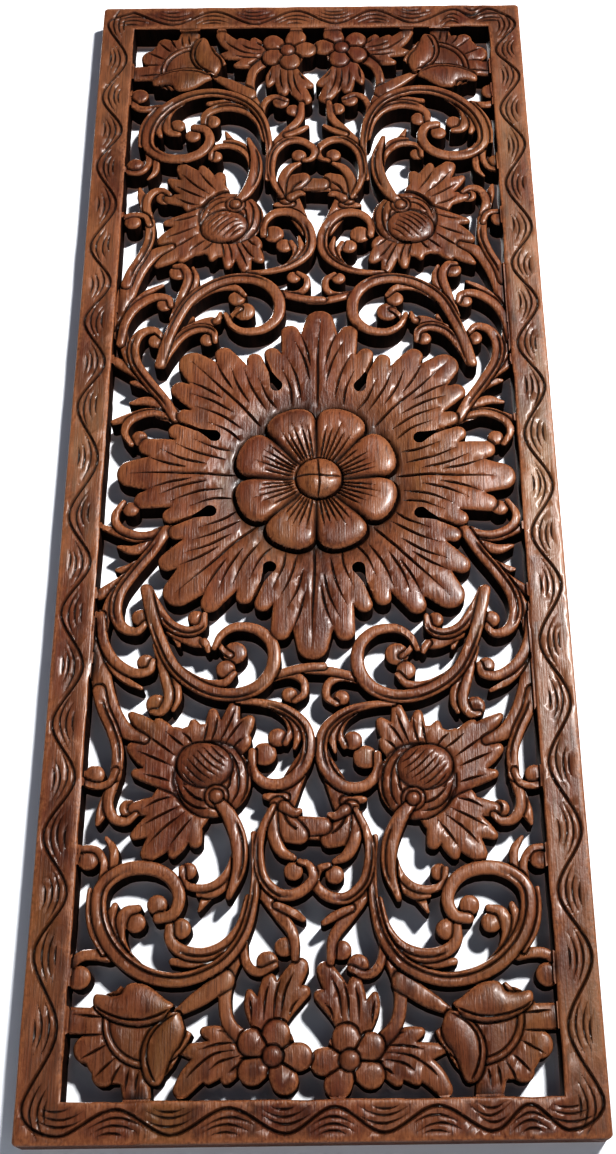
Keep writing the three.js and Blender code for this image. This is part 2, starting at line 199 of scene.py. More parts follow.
def carveStroke(points, widths, top, lines=(), flat=0.5, drop=2.1, turn=1):
    line, fraction = smoothLine(points)
    half = widthAt(widths, fraction) / 2
    area, deep, across, along, wide = strokeField(line, fraction, half)
    face = top - rounded(deep, np.maximum(wide * flat, 0.6), np.minimum(drop, wide * 0.8))
    mark = np.zeros(deep.shape)
    for place, start, end in lines:             # cuts that run along the stroke
        off = np.abs(across * turn - place) * wide
        fade = ease(along, start, start + 0.12) * (1 - ease(along, end - 0.12, end))
        v = np.clip(1 - off / 1.35, 0, 1) * fade
        mark = np.maximum(mark, v)
    layForm(area, deep, face - 1.9 * mark)
    # painted shade in the cuts along the stroke
    paintedCutShade[area] = np.maximum(paintedCutShade[area], np.where(deep > 0, mark, 0))


def carveDome(x, z, along, across, turn, top, drop=3.5, flat=0.8, stopDepth=1.6):
    reach = max(along, across) + 4
    area = span(x - reach, x + reach, z - reach, z + reach)
    c, s = math.cos(math.radians(turn)), math.sin(math.radians(turn))
    px, pz = gridX[area] - x, gridZ[area] - z
    u, v = px * c + pz * s, pz * c - px * s
    q = np.hypot(u / along, v / across)
    deep = (1 - q) * min(along, across)
    layForm(area, deep, top - rounded(deep, min(along, across) * flat, drop), stopDepth=stopDepth)


def carvePlate(strokes, discs, top, edge=2.6, drop=1.9, arch=0.0):      # a flat leaf made of joined strokes
    fields = []
    for points, widths in strokes:
        line, fraction = smoothLine(points)
        fields.append(strokeField(line, fraction, widthAt(widths, fraction) / 2))
    for x, z, radius in discs:
        area = span(x - radius - 3, x + radius + 3, z - radius - 3, z + radius + 3)
        away = radius - np.hypot(gridX[area] - x, gridZ[area] - z)
        fields.append((area, away, away * 0, away * 0, away * 0))
    j0, j1 = min(f[0][0].start for f in fields) - 2, max(f[0][0].stop for f in fields) + 2
    i0, i1 = min(f[0][1].start for f in fields) - 2, max(f[0][1].stop for f in fields) + 2
    area = (slice(max(j0, 0), min(j1, len(zLine))), slice(max(i0, 0), min(i1, len(xLine))))
    j0, i0 = area[0].start, area[1].start
    deep = np.full((area[0].stop - j0, area[1].stop - i0), -9.0)
    crown = np.zeros(deep.shape)
    for part, field, across, along, wide in fields:
        s = (slice(part[0].start - j0, part[0].stop - j0), slice(part[1].start - i0, part[1].stop - i0))
        deep[s] = np.maximum(deep[s], field)
        crown[s] = np.maximum(crown[s], np.where(field > 0, 1 - across ** 2, 0))
    deep = settle(deep)
    face = top + arch * crown - rounded(deep, edge, drop)
    layForm(area, deep, face)


def carveOutline(points, top, edge=3.0, drop=2.2, bulge=0.0):       # a plate with a closed outline
    line, _ = smoothLine(points, 6, closed=True)
    area, deep, _, _, _ = strokeField(line, np.zeros(len(line)), np.zeros(len(line)), 16)
    away = -deep
    x, z = gridX[area], gridZ[area]
    inside = np.zeros(x.shape, bool)
    for (ax, az), (bx, bz) in zip(line, np.roll(line, -1, axis=0)):
        if az != bz:
            inside ^= ((az > z) != (bz > z)) & (x < (bx - ax) * (z - az) / (bz - az) + ax)
    deep = np.where(inside, away, -away)
    face = top + bulge * ease(deep, 0, 10) - rounded(deep, edge, drop)
    layForm(area, deep, face)


# A V cut with pointed ends, with painted shade along it; dark sets how much.
def cut(points, width=1.8, depth=1.7, dark=1.0, ends=0.25, start=None, perLeg=6):
    line, fraction = smoothLine(points, perLeg)
    taper = np.minimum(ease(fraction, -0.02, ends if start is None else start),
                       1 - ease(fraction, 1 - ends, 1.02))
    half = width / 2 * (0.25 + 0.75 * taper)
    area, deep, across, along, wide = strokeField(line, fraction, half, 1.0)
    v = np.clip(1 - np.abs(across), 0, 1) * np.clip(wide / (width / 2), 0, 1) * (deep > 0)
    wood = depthIn[area] > 0
    height[area] = np.where(wood, height[area] - depth * v, height[area])
    # painted shade in the cut
    paintedCutShade[area] = np.where(wood, np.maximum(paintedCutShade[area], dark * np.clip(v * 1.6, 0, 1)), paintedCutShade[area])


def bore(area, deep):                           # takes wood away
    depthIn[area] = np.minimum(depthIn[area], -deep)


# The border: flat rails, eased edges, a wavy cut all round and gouge marks along its bends.
border = {
    "edgeEase": 1.6, "edgeDrop": 1.3,
    "outer": 445.0, "inner": 430.5,             # the wave on the short rails, from the middle
    "outerSide": 171.0, "innerSide": 153.5,     # the wave on the long rails
    "top": [-150, -82, -13, 53, 118, 151], "bottom": [-149, -83, -16, 42, 105, 150],
    "right": [428, 370, 298, 215, 143, 68, -15, -93, -178, -265, -345, -430],
    "left": [432, 352, 280, 200, 130, 55, -35, -110, -190, -265, -340, -430],
    "waveWidth": 2.7, "waveDepth": 2.2,
    "gougeWidth": 2.0, "gougeDepth": 1.5,
    "gougeRows": ((4.9, 21), (9.1, 15), (13.2, 9)),              # distance from the wave and length
}


def railWave(crests, outer, inner):             # bends of the wave along one rail, from its outer crests
    bends = []
    for a, b in zip(crests, crests[1:]):
        shallow = abs(b - a) < 45
        bends += [(a, outer), ((a + b) / 2, inner + (outer - inner) * (0.5 if shallow else 0))]
    return bends + [(crests[-1], outer)]


def carveBorder():
    bx, bz, r = board["halfWidth"], board["halfHeight"], board["corner"]
    qx, qz = np.abs(gridX) - (bx - r), np.abs(gridZ) - (bz - r)
    outside = np.hypot(np.maximum(qx, 0), np.maximum(qz, 0)) + np.minimum(np.maximum(qx, qz), 0) - r
    wobble = 0.5 * valueNoise(3, 22, 22) + 0.25 * valueNoise(4, 6, 6)
    opening = np.maximum(np.abs(gridX) - board["openingHalfWidth"],
                         np.abs(gridZ) - board["openingHalfHeight"]) + wobble
    deep = np.minimum(-outside, opening)
    worn = border["edgeDrop"] * (1 + 0.5 * valueNoise(5, 9, 30))
    face = board["thick"] - 0.05 - rounded(deep, border["edgeEase"], 1) * worn
    area = (slice(None), slice(None))
    inside = deep > -1.5
    height[area] = np.where(inside, face, height)
    depthIn[area] = np.maximum(depthIn, deep)
    loops = []
    for name, along, outer, inner in (("top", 0, border["outer"], border["inner"]),
                                      ("right", 1, border["outerSide"], border["innerSide"]),
                                      ("bottom", 0, -border["outer"], -border["inner"]),
                                      ("left", 1, -border["outerSide"], -border["innerSide"])):
        bends = railWave(border[name], outer, inner)
        if name in ("bottom", "left"):
            bends = bends[::-1]
        loops.append([(q, p) if along else (p, q) for p, q in bends])
        gougeRail(border[name], outer, inner, along)
    ring = [point for loop in loops for point in loop]
    cut(ring + [ring[0]], border["waveWidth"], border["waveDepth"], 0.85, ends=0.001, perLeg=10)


def gougeRail(crests, outer, inner, along):     # short gouge marks inside each outer bend, outside each dip
    rng = np.random.default_rng(int(abs(outer)) + along)
    swing = (outer - inner) / 2
    for k in range(len(crests)):
        for isDip in (0, 1):
            if isDip and k == len(crests) - 1:
                continue
            spot = crests[k] if not isDip else (crests[k] + crests[k + 1]) / 2
            pitch = abs(crests[min(k + 1, len(crests) - 1)] - crests[k]) or 70
            base = outer if not isDip else inner
            toward = -1 if not isDip else 1
            for row, length in border["gougeRows"]:
                off = row + rng.uniform(-0.5, 0.5)
                reach = min(length, pitch * 0.28) * rng.uniform(0.85, 1.1)
                slip = rng.uniform(-2, 2)
                points = []
                for s in (-1, -0.5, 0, 0.5, 1):
                    bend = swing * (1 - math.cos(math.pi * s * reach / (pitch / 2))) * 0.8
                    p = spot + slip + s * reach
                    q = base + math.copysign(1, outer) * toward * off - (bend if not isDip else -bend)
                    points.append((q, p) if along else (p, q))
                cut(points, border["gougeWidth"], border["gougeDepth"], 0.75, ends=0.45)


# The rosette: eight leaves of five lobes, drop-shaped holes between them, and a flower with a button.
rosette = {
    "x": 3.0, "z": -2.0, "turn": -1.2, "leaves": 8, "root": 52.0,
    "lobes": [(0, 143, (24, 32, 22)), (-10.2, 131, (18, 22, 14)), (10.2, 131, (18, 22, 14)),
              (-18.8, 114, (16, 18, 12)), (18.8, 114, (16, 18, 12))],
    "top": 16.6, "paintedHollowShade": 4.2,                 # how far the leaves dip towards the flower
    "dipFrom": 54.0, "dipTo": 84.0, "tipFrom": 112.0, "tipTo": 142.0, "tipFall": 1.4,
    "dropStart": 76.0, "dropEnd": 93.0, "dropRadius": 4.6, "slitEnd": 108.0,
    "midrib": (58, 80, 105, 134),
    "veins": [[(60, 19), (73, 20.5), (89, 27)], [(64, 11.5), (84, 16.0), (101, 23.5)],
              [(77, 6.5), (95, 11), (111, 18.5)], [(91, 5), (107, 8.5), (122, 14)]],
}
flower = {
    "x": 3.0, "z": -5.0, "petals": 8, "reach": 60.0, "notch": 45.0, "top": 18.8, "dish": 3.8,
    "cuts": (-14.5, -8.0, -1.2, 6.0, 13.0), "buttonX": 5.0, "buttonRadius": 16.5, "buttonTop": 19.9,
    "buttonCross": [[(-16, 0.6), (-5, 0.8), (6, -0.4), (16, 0.8)],
                    [(-1.0, -16), (0.5, -5), (-0.3, 6), (-1.0, 16)]],
}


def fromPolar(cx, cz, radius, degrees):
    a = math.radians(degrees)
    return cx + radius * math.cos(a), cz + radius * math.sin(a)


def carveRosette():
    cx, cz = rosette["x"], rosette["z"]
    area = span(cx - 170, cx + 170, cz - 170, cz + 170)
    deep = 80 - np.hypot(gridX[area] - cx, gridZ[area] - cz)
    j0, i0 = area[0].start, area[1].start
    axes = [rosette["turn"] + 360 / rosette["leaves"] * k for k in range(rosette["leaves"])]
    lobeCrown = np.zeros(deep.shape)
    for axis in axes:
        for angle, reach, widths in rosette["lobes"]:
            spine = [fromPolar(cx, cz, rosette["root"], axis + angle * 0.7),
                     fromPolar(cx, cz, (rosette["root"] + reach) / 2, axis + angle * 0.9),
                     fromPolar(cx, cz, reach - widths[2] / 2, axis + angle)]
            line, fraction = smoothLine(spine)
            part, lobe, across, along, wide = strokeField(line, fraction, widthAt(widths, fraction) / 2)
            s = (slice(part[0].start - j0, part[0].stop - j0), slice(part[1].start - i0, part[1].stop - i0))
            deep[s] = np.maximum(deep[s], lobe)
            crown = np.clip(1 - across ** 2, 0, 1) * ease(along, 0.45, 0.9)
            lobeCrown[s] = np.maximum(lobeCrown[s], np.where(lobe > 0, crown, 0))
    deep = settle(deep)
    away = np.hypot(gridX[area] - cx, gridZ[area] - cz)
    face = rosette["top"] - rosette["paintedHollowShade"] * (1 - ease(away, rosette["dipFrom"], rosette["dipTo"])) \
        - rosette["tipFall"] * ease(away, rosette["tipFrom"], rosette["tipTo"])
    face = face + 0.45 * lobeCrown - rounded(deep, 2.6, 1.7)
    layForm(area, deep, face)
    rng = np.random.default_rng(12)
    for axis in axes:
        for side in (-1, 1):
            for vein in rosette["veins"]:
                bend = rng.uniform(-0.8, 0.8)
                stretch = rng.uniform(0.97, 1.03)
                points = []
                for r, off in vein:
                    angle = axis + math.degrees(math.atan2(side * off + bend, r))
                    points.append(fromPolar(cx, cz, math.hypot(r, off) * stretch, angle))
                cut(points, 2.2, 2.1, ends=0.6, start=0.25)
        midrib = [fromPolar(cx, cz, r, axis + rng.uniform(-0.4, 0.4)) for r in rosette["midrib"]]
        cut(midrib, 2.4, 2.2, ends=0.5, start=0.1)
    for axis in axes:
        middle = axis + 180 / rosette["leaves"]
        spine = [fromPolar(cx, cz, rosette["dropStart"] + rosette["dropRadius"], middle),
                 fromPolar(cx, cz, rosette["dropStart"] + rosette["dropRadius"] + 5, middle),
                 fromPolar(cx, cz, rosette["dropEnd"], middle)]
        line, fraction = smoothLine(spine)
        half = rosette["dropRadius"] * (1 - 0.75 * fraction)
        part, drop, across, along, wide = strokeField(line, fraction, half)
        bore(part, drop)
        cut([fromPolar(cx, cz, r, middle) for r in (rosette["dropEnd"] - 3, 100, rosette["slitEnd"])],
            2.6, 5.0, ends=0.05)
    carveFlower()


def carveFlower():
    cx, cz = flower["x"], flower["z"]
    area = span(cx - 66, cx + 66, cz - 66, cz + 66)
    x, z = gridX[area] - cx, gridZ[area] - cz
    away, angle = np.hypot(x, z), np.degrees(np.arctan2(z, x))
    pitch = 360 / flower["petals"]
    off = (angle % pitch) - pitch / 2
    q = np.clip(np.abs(off) / (pitch / 2), 0, 1)
    rim = flower["notch"] + (flower["reach"] - flower["notch"]) * (1 - q ** 2.7) ** (1 / 2.1)
    side = away * np.sin(np.radians(pitch / 2 - np.abs(off)))
    deep = np.minimum(rim - away, 60.0)
    face = flower["top"] - rounded(deep, 9.0, 3.6)
    face -= 3.2 * (1 - np.clip(side / 4.0, 0, 1)) ** 1.5 * ease(away, 12, 24)
    face -= flower["dish"] * (1 - ease(away, 17, 46))
    layForm(area, deep, face, stopWidth=3.0, stopDepth=2.4)
    # painted shade in the creases between the petals
    crease = (1 - np.clip(side / 1.3, 0, 1)) * (deep > 0.3)
    paintedCutShade[area] = np.maximum(paintedCutShade[area], crease)
    rng = np.random.default_rng(5)
    for petal in range(flower["petals"]):
        axis = pitch * (petal + 0.5)
        for side in flower["cuts"]:
            end = 47 + rng.uniform(-6, 3) - abs(side) * 0.3
            tilt = rng.uniform(-0.8, 0.8)
            cut([fromPolar(cx, cz, r, axis + side * k + tilt)
                 for r, k in ((17, 1.0), (32, 1.0), (end, 0.95))], 2.1, 2.0, ends=0.6, start=0.05)
    bx = flower["buttonX"]
    carveDome(bx, cz, flower["buttonRadius"], flower["buttonRadius"], 0,
              flower["buttonTop"], drop=6.0, flat=1.0, stopDepth=2.5)
    for line in flower["buttonCross"]:
        cut([(bx + x, cz + z) for x, z in line], 1.9, 1.5, ends=0.05)


# The openwork: one quarter is drawn for the bottom right, u out from the centre line and v down from the
# middle. A stroke has its layer, its widths at root, belly and tip, its spine and the cuts along it, each
# as (place across, start, end).
pattern = {
    "cornerStem": {
        "stem": (3, (10, 8, 8), [(40, 394), (50, 384), (53.5, 370), (52, 356), (47, 343)], ()),
        "wedge": (3, (14, 11, 5), [(55, 358), (66, 366), (83, 376)], ()),
        "hook": (4, (4, 6, 4), [(23, 350), (32, 354), (39, 351), (43, 342), (43, 328)], ()),
    },
    "bigScroll": {
        "tip": (4, (4, 6, 5), [(46, 333), (60, 345), (74, 348), (87, 346.5)], ()),
        "branch": (5, (4, 9, 5), [(42, 308), (45.5, 325), (54, 337), (67, 342.5), (80, 341), (89, 334),
                                  (90, 324)], ((-0.25, 0.1, 0.75),)),
        "outer": (5, (3, 5.5, 3), [(130, 341), (137.5, 328), (140.5, 314), (141, 302)], ()),
        "inner": (5, (6, 8.5, 5), [(108, 349), (117, 341), (121.5, 329), (118, 317), (110, 314)], ()),
        "strand": (5, (5, 7.5, 4), [(113, 347), (124, 334), (127.5, 322), (124.5, 312)], ()),
        "band": (6, (4, 10, 7), [(40, 268), (38, 287), (38.5, 310), (44, 332), (57, 348.5), (78, 357),
                                   (98, 355.5), (115, 347), (128, 333), (134.5, 316), (133, 300),
                                   (120, 290), (104, 289), (91, 295), (84.5, 307), (88, 318), (97, 320.5)],
                 ((0.3, 0.04, 0.72),)),
        "foot": (4, (7, 7, 6), [(127, 343), (136, 341.5), (144, 342.5), (152, 349)], ()),
    },
    "spur": {
        "long": (4, (6, 6, 2.5), [(131, 296), (127.5, 285), (128.5, 276), (133.5, 269)], ()),
        "hook": (4, (6, 5, 5), [(134, 298), (133.5, 286), (138, 277.5), (145, 275.5), (152, 277)], ()),
    },
    "sideHooks": {
        "stem": (4, (6, 14, 6),
                 [(114, 204), (128, 197), (139, 182), (145.5, 162), (148, 140), (150, 118)], ()),
        "tip": (4, (8, 8, 3), [(133, 236), (137, 249), (140, 260)], ()),
        "arch": (4, (4, 7, 8), [(116, 254), (122, 258.5), (130, 256), (134.5, 246), (132, 232),
                                (130.5, 222)], ()),
        "band": (4, (8, 8, 9), [(131, 228), (131, 212), (136, 197), (143, 183), (147, 170)],
                 ((0.3, 0.1, 0.9),)),
        "hook": (4, (5, 5, 5), [(131.5, 225), (135, 233), (143, 235), (152, 232.5)], ()),
    },
    "column": {
        "twin": (4, (5, 8, 5), [(38, 288), (33, 304), (22.5, 318), (13, 331), (11, 346)], ()),
        "small": (4, (5, 6, 4), [(24, 313), (14, 317.5), (7, 322)], ()),
        "trunk": (4, (11, 15, 10), [(27.5, 264), (22, 250), (17, 236), (9, 218)], ()),
        "bar": (5, (12, 13, 13), [(-4, 263), (5, 263), (14, 262.5)], ()),
        "knee": (5, (11, 18, 12), [(25, 249), (21, 262), (11, 269)], ((-0.35, 0.1, 0.9),)),
        "thumb": (5, (8, 6, 4), [(21, 250), (15, 254), (11, 253)], ()),
        "lobe": (4, (7, 6, 4), [(21, 244), (29, 243.5), (33.5, 243)], ()),
        "finger": (5, (7, 8, 4), [(29, 253), (27.5, 268), (22, 279), (14, 283.5)], ()),
        "ring": (6, (4, 7.5, 4), [(28, 250), (34, 263), (36.5, 278), (33, 296), (22, 306.5), (10, 305.5),
                                  (1.5, 297), (4, 288.5), (10, 286)],
                 ((0.35, 0.15, 0.6),)),
    },
    "budStem": {
        "leafOne": (5, (5, 6.5, 3), [(50, 288), (57, 300), (65, 305.5), (73, 306)], ()),
        "leafTwo": (4, (4, 6, 2), [(58, 300), (67, 307), (72, 316)], ()),
        "curl": (5, (4, 5.5, 4),
                 [(51, 272), (53.5, 288), (61, 298.5), (72, 302), (82, 298.5), (84, 289)], ()),
        "stem": (6, (7, 11, 4), [(63, 247), (56, 256), (49.5, 272), (48.5, 290), (54, 308)],
                 ((-0.4, 0.3, 0.9),)),
    },
    "axisScroll": {
        "hook": (4, (6, 6, 4), [(31, 160), (19, 158), (10.5, 163), (9.5, 172), (16, 177.5)], ()),
        "bar": (4, (6, 6.5, 6), [(-3, 152.5), (12, 153.5), (29, 158)], ()),
        "inner": (4, (4, 6, 4), [(32, 180.5), (22, 187), (17.5, 197), (21, 207)], ()),
        "strand": (5, (4, 6.5, 2.5), [(26, 183), (17, 190), (13, 200), (15, 211)], ()),
        "band": (6, (4, 8.5, 5.5), [(54, 177.5), (38, 178.5), (22, 183.5), (9.5, 194), (5.5, 208),
                                    (9.5, 224), (21, 234.5), (34, 234), (42, 225), (42.5, 213)],
                 ((0.4, 0.1, 0.6),)),
    },
    "ring": {
        "leafOne": (4, (6, 5, 3), [(104, 120), (98, 130), (95, 138)], ()),
        "leafTwo": (4, (8, 9, 6), [(100, 127), (86, 133.5), (77, 135)], ()),
        "leafThree": (4, (6, 5, 3), [(78, 134), (75.5, 138), (75, 141)], ()),
        "tie": (5, (4, 4, 4), [(69, 135), (64, 141), (60, 144)], ()),
        "inner": (5, (4, 7, 4), [(100, 148), (90, 158), (77, 164.5), (64, 164), (57, 157)], ()),
        "low": (6, (5, 8, 4), [(117, 94), (111, 108), (102, 122), (90, 127.5), (80, 124), (78, 114.5)],
                ((0.3, 0.25, 0.9),)),
        "band": (6, (8, 9.5, 4), [(119, 95), (114.5, 114), (108, 134), (97, 155), (79, 168.3), (59, 172.8),
                                  (41.5, 167.5), (31.5, 154), (31.5, 137), (41.5, 125.8), (56, 123.3),
                                  (66, 129), (71, 139)],
                 ((0.42, 0.06, 0.55),)),
    },
    "sideLeaves": {
        "hookOneOuter": (4, (3, 6, 3), [(107, 148), (97, 163), (94, 175), (96.5, 184)], ()),
        "hookOne": (5, (6, 7, 4), [(110, 138), (104, 160), (100, 175), (104, 185), (110.5, 185.5)], ()),
        "hookTwoOuter": (4, (4, 6, 3), [(147, 134), (141, 150), (131, 162), (119, 169)], ()),
        "hookTwo": (5, (7, 7.5, 4), [(149, 115), (146, 134), (138, 149), (125, 158), (114.5, 157),
                                     (112, 150)], ()),
        "sprayOne": (4, (7, 7, 3), [(121, 71), (132, 78), (140, 79.5)], ()),
        "sprayTwo": (4, (8, 8, 3), [(110, 52), (127, 63), (140, 61)], ()),
        "sprayThree": (4, (8, 7.5, 5), [(106, 47), (126, 53.5), (139, 50), (152, 45)], ()),
        "sprayFour": (4, (6, 8, 8), [(128, 80), (138, 89), (152, 99)], ()),
        "hookThreeOuter": (4, (5, 8, 7), [(133, 86), (142, 101), (146, 116), (148, 131)], ()),
        "hookFour": (5, (5, 6.5, 4), [(110, 49), (126, 52), (140, 46), (144, 36), (138.5, 25.5)], ()),
        "hookThree": (5, (8, 9, 4), [(107, 48), (116, 64), (128, 81), (137, 97), (139, 112), (134, 124),
                                     (124, 127.7), (117.5, 121)], ((0.35, 0.05, 0.7),)),
    },
}

leafPlates = {                                  # flat leaves: round bases, widths and spine of each finger
    "smallLeaf": {"top": 16.4, "base": [(23, 398, 14), (44, 400, 11), (22, 377, 11)], "fingers": [
        ((9, 15, 10.5), [(40, 399), (60, 405), (71, 412.5), (78, 421)]),
        ((9, 12.5, 6), [(42, 402), (54, 408), (62, 416)]),
        ((9, 10.5, 7), [(40, 405), (47, 411), (50.5, 416)]),
        ((9, 12.5, 6), [(42, 398), (62, 400), (78, 398)]),
        ((10, 11.5, 6), [(40, 393), (54, 391), (65, 388)]),
        ((9, 10.5, 8), [(21, 386), (12, 373), (4.5, 366)]),
        ((9, 15, 11.5), [(21, 384), (16, 366), (8, 351)]),
        ((9, 12.5, 9), [(24, 386), (26.5, 371), (26, 359)]),
        ((9, 10.5, 4.5), [(30, 388), (35, 376), (38, 366)]),
    ]},
    "leafOverBud": {"top": 16.2, "base": [(88, 250, 20)], "fingers": [
        ((9, 10, 9), [(80, 252), (78, 264), (77, 272)]),
        ((9, 14, 6.5), [(82, 252), (87, 268), (90.5, 280)]),
        ((10, 18, 11.5), [(84, 250), (96, 267), (105.5, 279)]),
        ((10, 14, 6.5), [(88, 248), (103, 259), (115.5, 267.5)]),
        ((10, 13, 9), [(90, 244), (103, 248), (117, 250)]),
    ]},
    "leafUnderBud": {"top": 16.2, "base": [(76, 220, 27)], "fingers": [
        ((9, 11.5, 6.5), [(90, 237), (104, 230), (118, 226.5)]),
        ((9, 16.5, 9), [(92, 225), (108, 217), (121, 209.5)]),
        ((9, 13, 7.5), [(90, 216), (105, 207), (119, 200)]),
        ((9, 14, 5), [(93, 211), (109, 199), (124, 187)]),
        ((9, 11.5, 5), [(88, 212), (97, 202), (106, 191)]),
        ((9, 11.5, 5), [(82, 212), (88, 204), (94, 197.5)]),
        ((9, 11.5, 5), [(77, 212), (80, 201), (82.5, 192)]),
        ((9, 11.5, 6.5), [(70, 212), (69, 197), (70, 185)]),
        ((9, 13, 7.5), [(63, 212), (59, 196), (56, 180)]),
        ((9, 13, 7.5), [(57, 212), (51, 199), (45.5, 190.5)]),
        ((6.5, 9, 6.5), [(54, 214), (49, 208), (46.5, 204)]),
    ]},
    "cornerFlower": {"top": 16.0, "base": [(106, 392, 26), (116, 384, 23), (118, 396, 20)], "fingers": [
        ((12, 18, 16), [(106, 396), (107, 410), (104, 428)]),
        ((12, 17, 14), [(112, 392), (120, 404), (125.5, 411)]),
        ((12, 18, 17), [(118, 386), (129, 391.5), (136, 396)]),
        ((12, 16, 16), [(118, 382), (133, 380), (151, 379.5)]),
    ]},
    "smallFlower": {"top": 17.4, "base": [(22, 404, 8)], "fingers": [
        ((12, 17, 17), [(22, 402), (21, 396), (20, 391)]),
        ((12, 16, 17), [(24, 403), (29, 399.5), (35, 396)]),
        ((12, 16, 17), [(24, 405), (29, 408.5), (34.5, 412.5)]),
        ((12, 16, 17), [(21, 406), (18, 411), (15, 418)]),
        ((12, 16, 17), [(20, 404), (13, 404), (6.5, 404.5)]),
    ]},
}

eyes = [                                        # the round ends that the scrolls curl into: u, v, radius
    (28, 348, 6.8), (98, 312, 6.4), (111, 323, 6.4), (83, 327, 6.6), (144, 355, 7.4), (144, 283, 6.8),
    (121, 250, 5.9), (144.5, 227.5, 6.6), (80, 291, 5.6), (14, 292, 6.1), (18, 339, 6.1), (34.5, 214.5, 8),
    (26.5, 203, 6.4), (19.5, 173, 5.4), (57, 142, 8.1), (63, 154, 6.6), (84, 117, 5.6), (108, 180, 6.9),
    (117, 151, 5.9), (122, 117, 6.1), (133, 31, 5.9),
]

leafCuts = [                                    # veins of the small leaves and flower, in the same quarter
    [(42, 399.5), (58, 401.5), (70, 409), (76, 415.5)], [(42, 403.5), (54, 406), (62, 411)],
    [(42, 395.5), (56, 396), (68, 398.5)], [(41, 391), (48, 389), (57, 388)],
    [(40, 408), (45, 410), (49, 413)],
    [(22, 383), (21.5, 368), (18, 355)], [(18, 382), (16, 366), (11, 354)],
    [(13, 382), (11, 375), (7, 370)],
    [(28, 383), (28, 370), (26, 361)], [(36, 384), (36.5, 376), (38, 369)],
    [(126, 378), (136, 377), (146, 376)], [(126, 387.5), (135, 388), (146, 388)],
    [(124, 393), (131, 397), (140, 402)],
    [(119, 401), (125, 406.5), (131.5, 413.5)], [(115, 405), (119, 411.5), (121.5, 419)],
    [(110, 407), (111.3, 413), (112, 421)], [(104, 409), (105.5, 414), (106, 421)],
    [(80, 257), (87, 266), (93, 275)], [(84.5, 253), (97, 263), (107, 274)],
    [(88, 249), (100, 255), (112, 262)],
    [(92, 242.5), (102, 245), (111, 250)],
    [(94, 233), (103, 230), (113, 227.5)], [(94, 222.5), (106, 217), (118, 212)],
    [(92, 216), (103, 208), (113, 201)],
    [(86, 210), (93, 205), (100, 199)], [(81, 209), (85, 203), (90, 199)],
    [(62, 210), (55, 198), (49.5, 191)],
    [(65, 209), (59, 194), (55, 183)], [(71, 209), (67.5, 197), (66.5, 187)],
    [(75.5, 209), (73.5, 199), (72.5, 190)],
    [(57, 212), (52, 206), (48, 203)], [(28, 262), (25, 250), (18, 238), (12, 226)],
    [(2.5, 256), (2.7, 262), (2.5, 270)],
    [(112, 54), (122, 60), (133, 67)], [(123, 70), (124.5, 75), (124, 82)],
    [(113, 50), (124, 54), (138, 56)],
]

bud = {
    "u": 73.3, "v": 221.8, "along": 18.4, "across": 15.4, "turn": 14.0, "top": 19.6,
    "ball": (68.0, 231.0, 25.5), "ballTop": 18.2,
    "wraps": [[(57, 207), (47, 221), (45.5, 238), (52, 252)],
              [(59, 210), (52, 223), (51, 239), (56.5, 250)],
              [(60, 215), (56.5, 226), (56.5, 235), (59, 240)],
              [(61, 256.5), (75, 256), (86, 248), (92.5, 235)],
              [(69, 251.5), (79, 249.5), (87, 243), (92, 230)], [(70, 246.5), (79, 243.5), (87.5, 235)]],
    "cuts": 8, "cutPitch": 3.9, "cutReach": 15.5,
    "knotU": 65, "knotV": 243,                  # where the stem enters the bud
}
cornerPods = {
    "podOne": [(83, 375.5), (79, 381), (77.5, 388), (80, 395), (84, 400), (87, 407), (90.5, 416.3),
               (94.7, 418),
               (99.5, 415), (102.6, 408), (103.8, 398), (101, 389), (95.5, 381.5), (89, 377)],
    "podOneLine": [(82, 376.5), (92, 382), (98.6, 390), (100.2, 400), (97.5, 410), (93.5, 417)],
    "podTwo": [(85, 372.5), (90.5, 368), (96, 363.5), (103, 359.5), (111.5, 358.4), (115.5, 361),
               (118, 364.7),
               (124, 365.5), (132.5, 364.5), (134.3, 369), (131.6, 374), (124, 379), (116, 381.8),
               (105.5, 383.3),
               (96, 381.8), (89.5, 378)],
    "podTwoLine": [(86, 373.5), (94.7, 377.6), (105.3, 379.7), (118, 378.2), (128.5, 374.3),
                   (133.4, 370.5)],
    "fanU": 100.0, "fanV": 380.0, "fanRadius": 27.5,
}
smallFlower = {
    "u": 22.0, "v": 404.0, "button": 6.4,
    "creases": [[(22, 404), (26, 397), (31.5, 388)], [(22, 404), (32, 404.5), (42, 405)],
                [(22, 404), (24.5, 412), (26, 421)], [(22, 404), (15.5, 408.5), (7.5, 413.5)],
                [(22, 404), (15.5, 399.5), (9, 395)]],
}

# The four quarters follow one pattern, but each was struck by hand: at each of these places of the
# pattern a quarter stands a few millimetres out and down from the first.
strikePlaces = [(22, 404), (112, 393), (98, 313), (65, 243), (52, 149), (117, 151), (133, 31)]
quarters = [
    {"side": 1, "end": -1, "strikes": [(0, 0)] * 7},
    {"side": -1, "end": -1, "strikes": [(7, -3), (4, 0), (4, -2.5), (2, -3), (0, -2), (0, -5), (0, -2)]},
    {"side": 1, "end": 1,
     "strikes": [(3, 2.5), (2, 4), (4.5, 1.5), (5, -3.5), (0, -4), (-1, -3.5), (0, -4.5)]},
    {"side": -1, "end": 1,
     "strikes": [(3, 0), (2, 1.5), (3, 0.5), (0, -1.5), (-1, -2), (0, -4.5), (-3, -1.5)]},
]


def place(quarter, u, v):                       # from the pattern to its place on the board
    total = du = dv = 0.0
    for (pu, pv), (su, sv) in zip(strikePlaces, quarter["strikes"]):
        weight = 1 / ((u - pu) ** 2 + (v - pv) ** 2 + 100)
        total += weight
        du += weight * su
        dv += weight * sv
    x = board["axisShift"] + quarter["side"] * (u + du / total - board["axisShift"])
    return x, quarter["end"] * (v + dv / total)


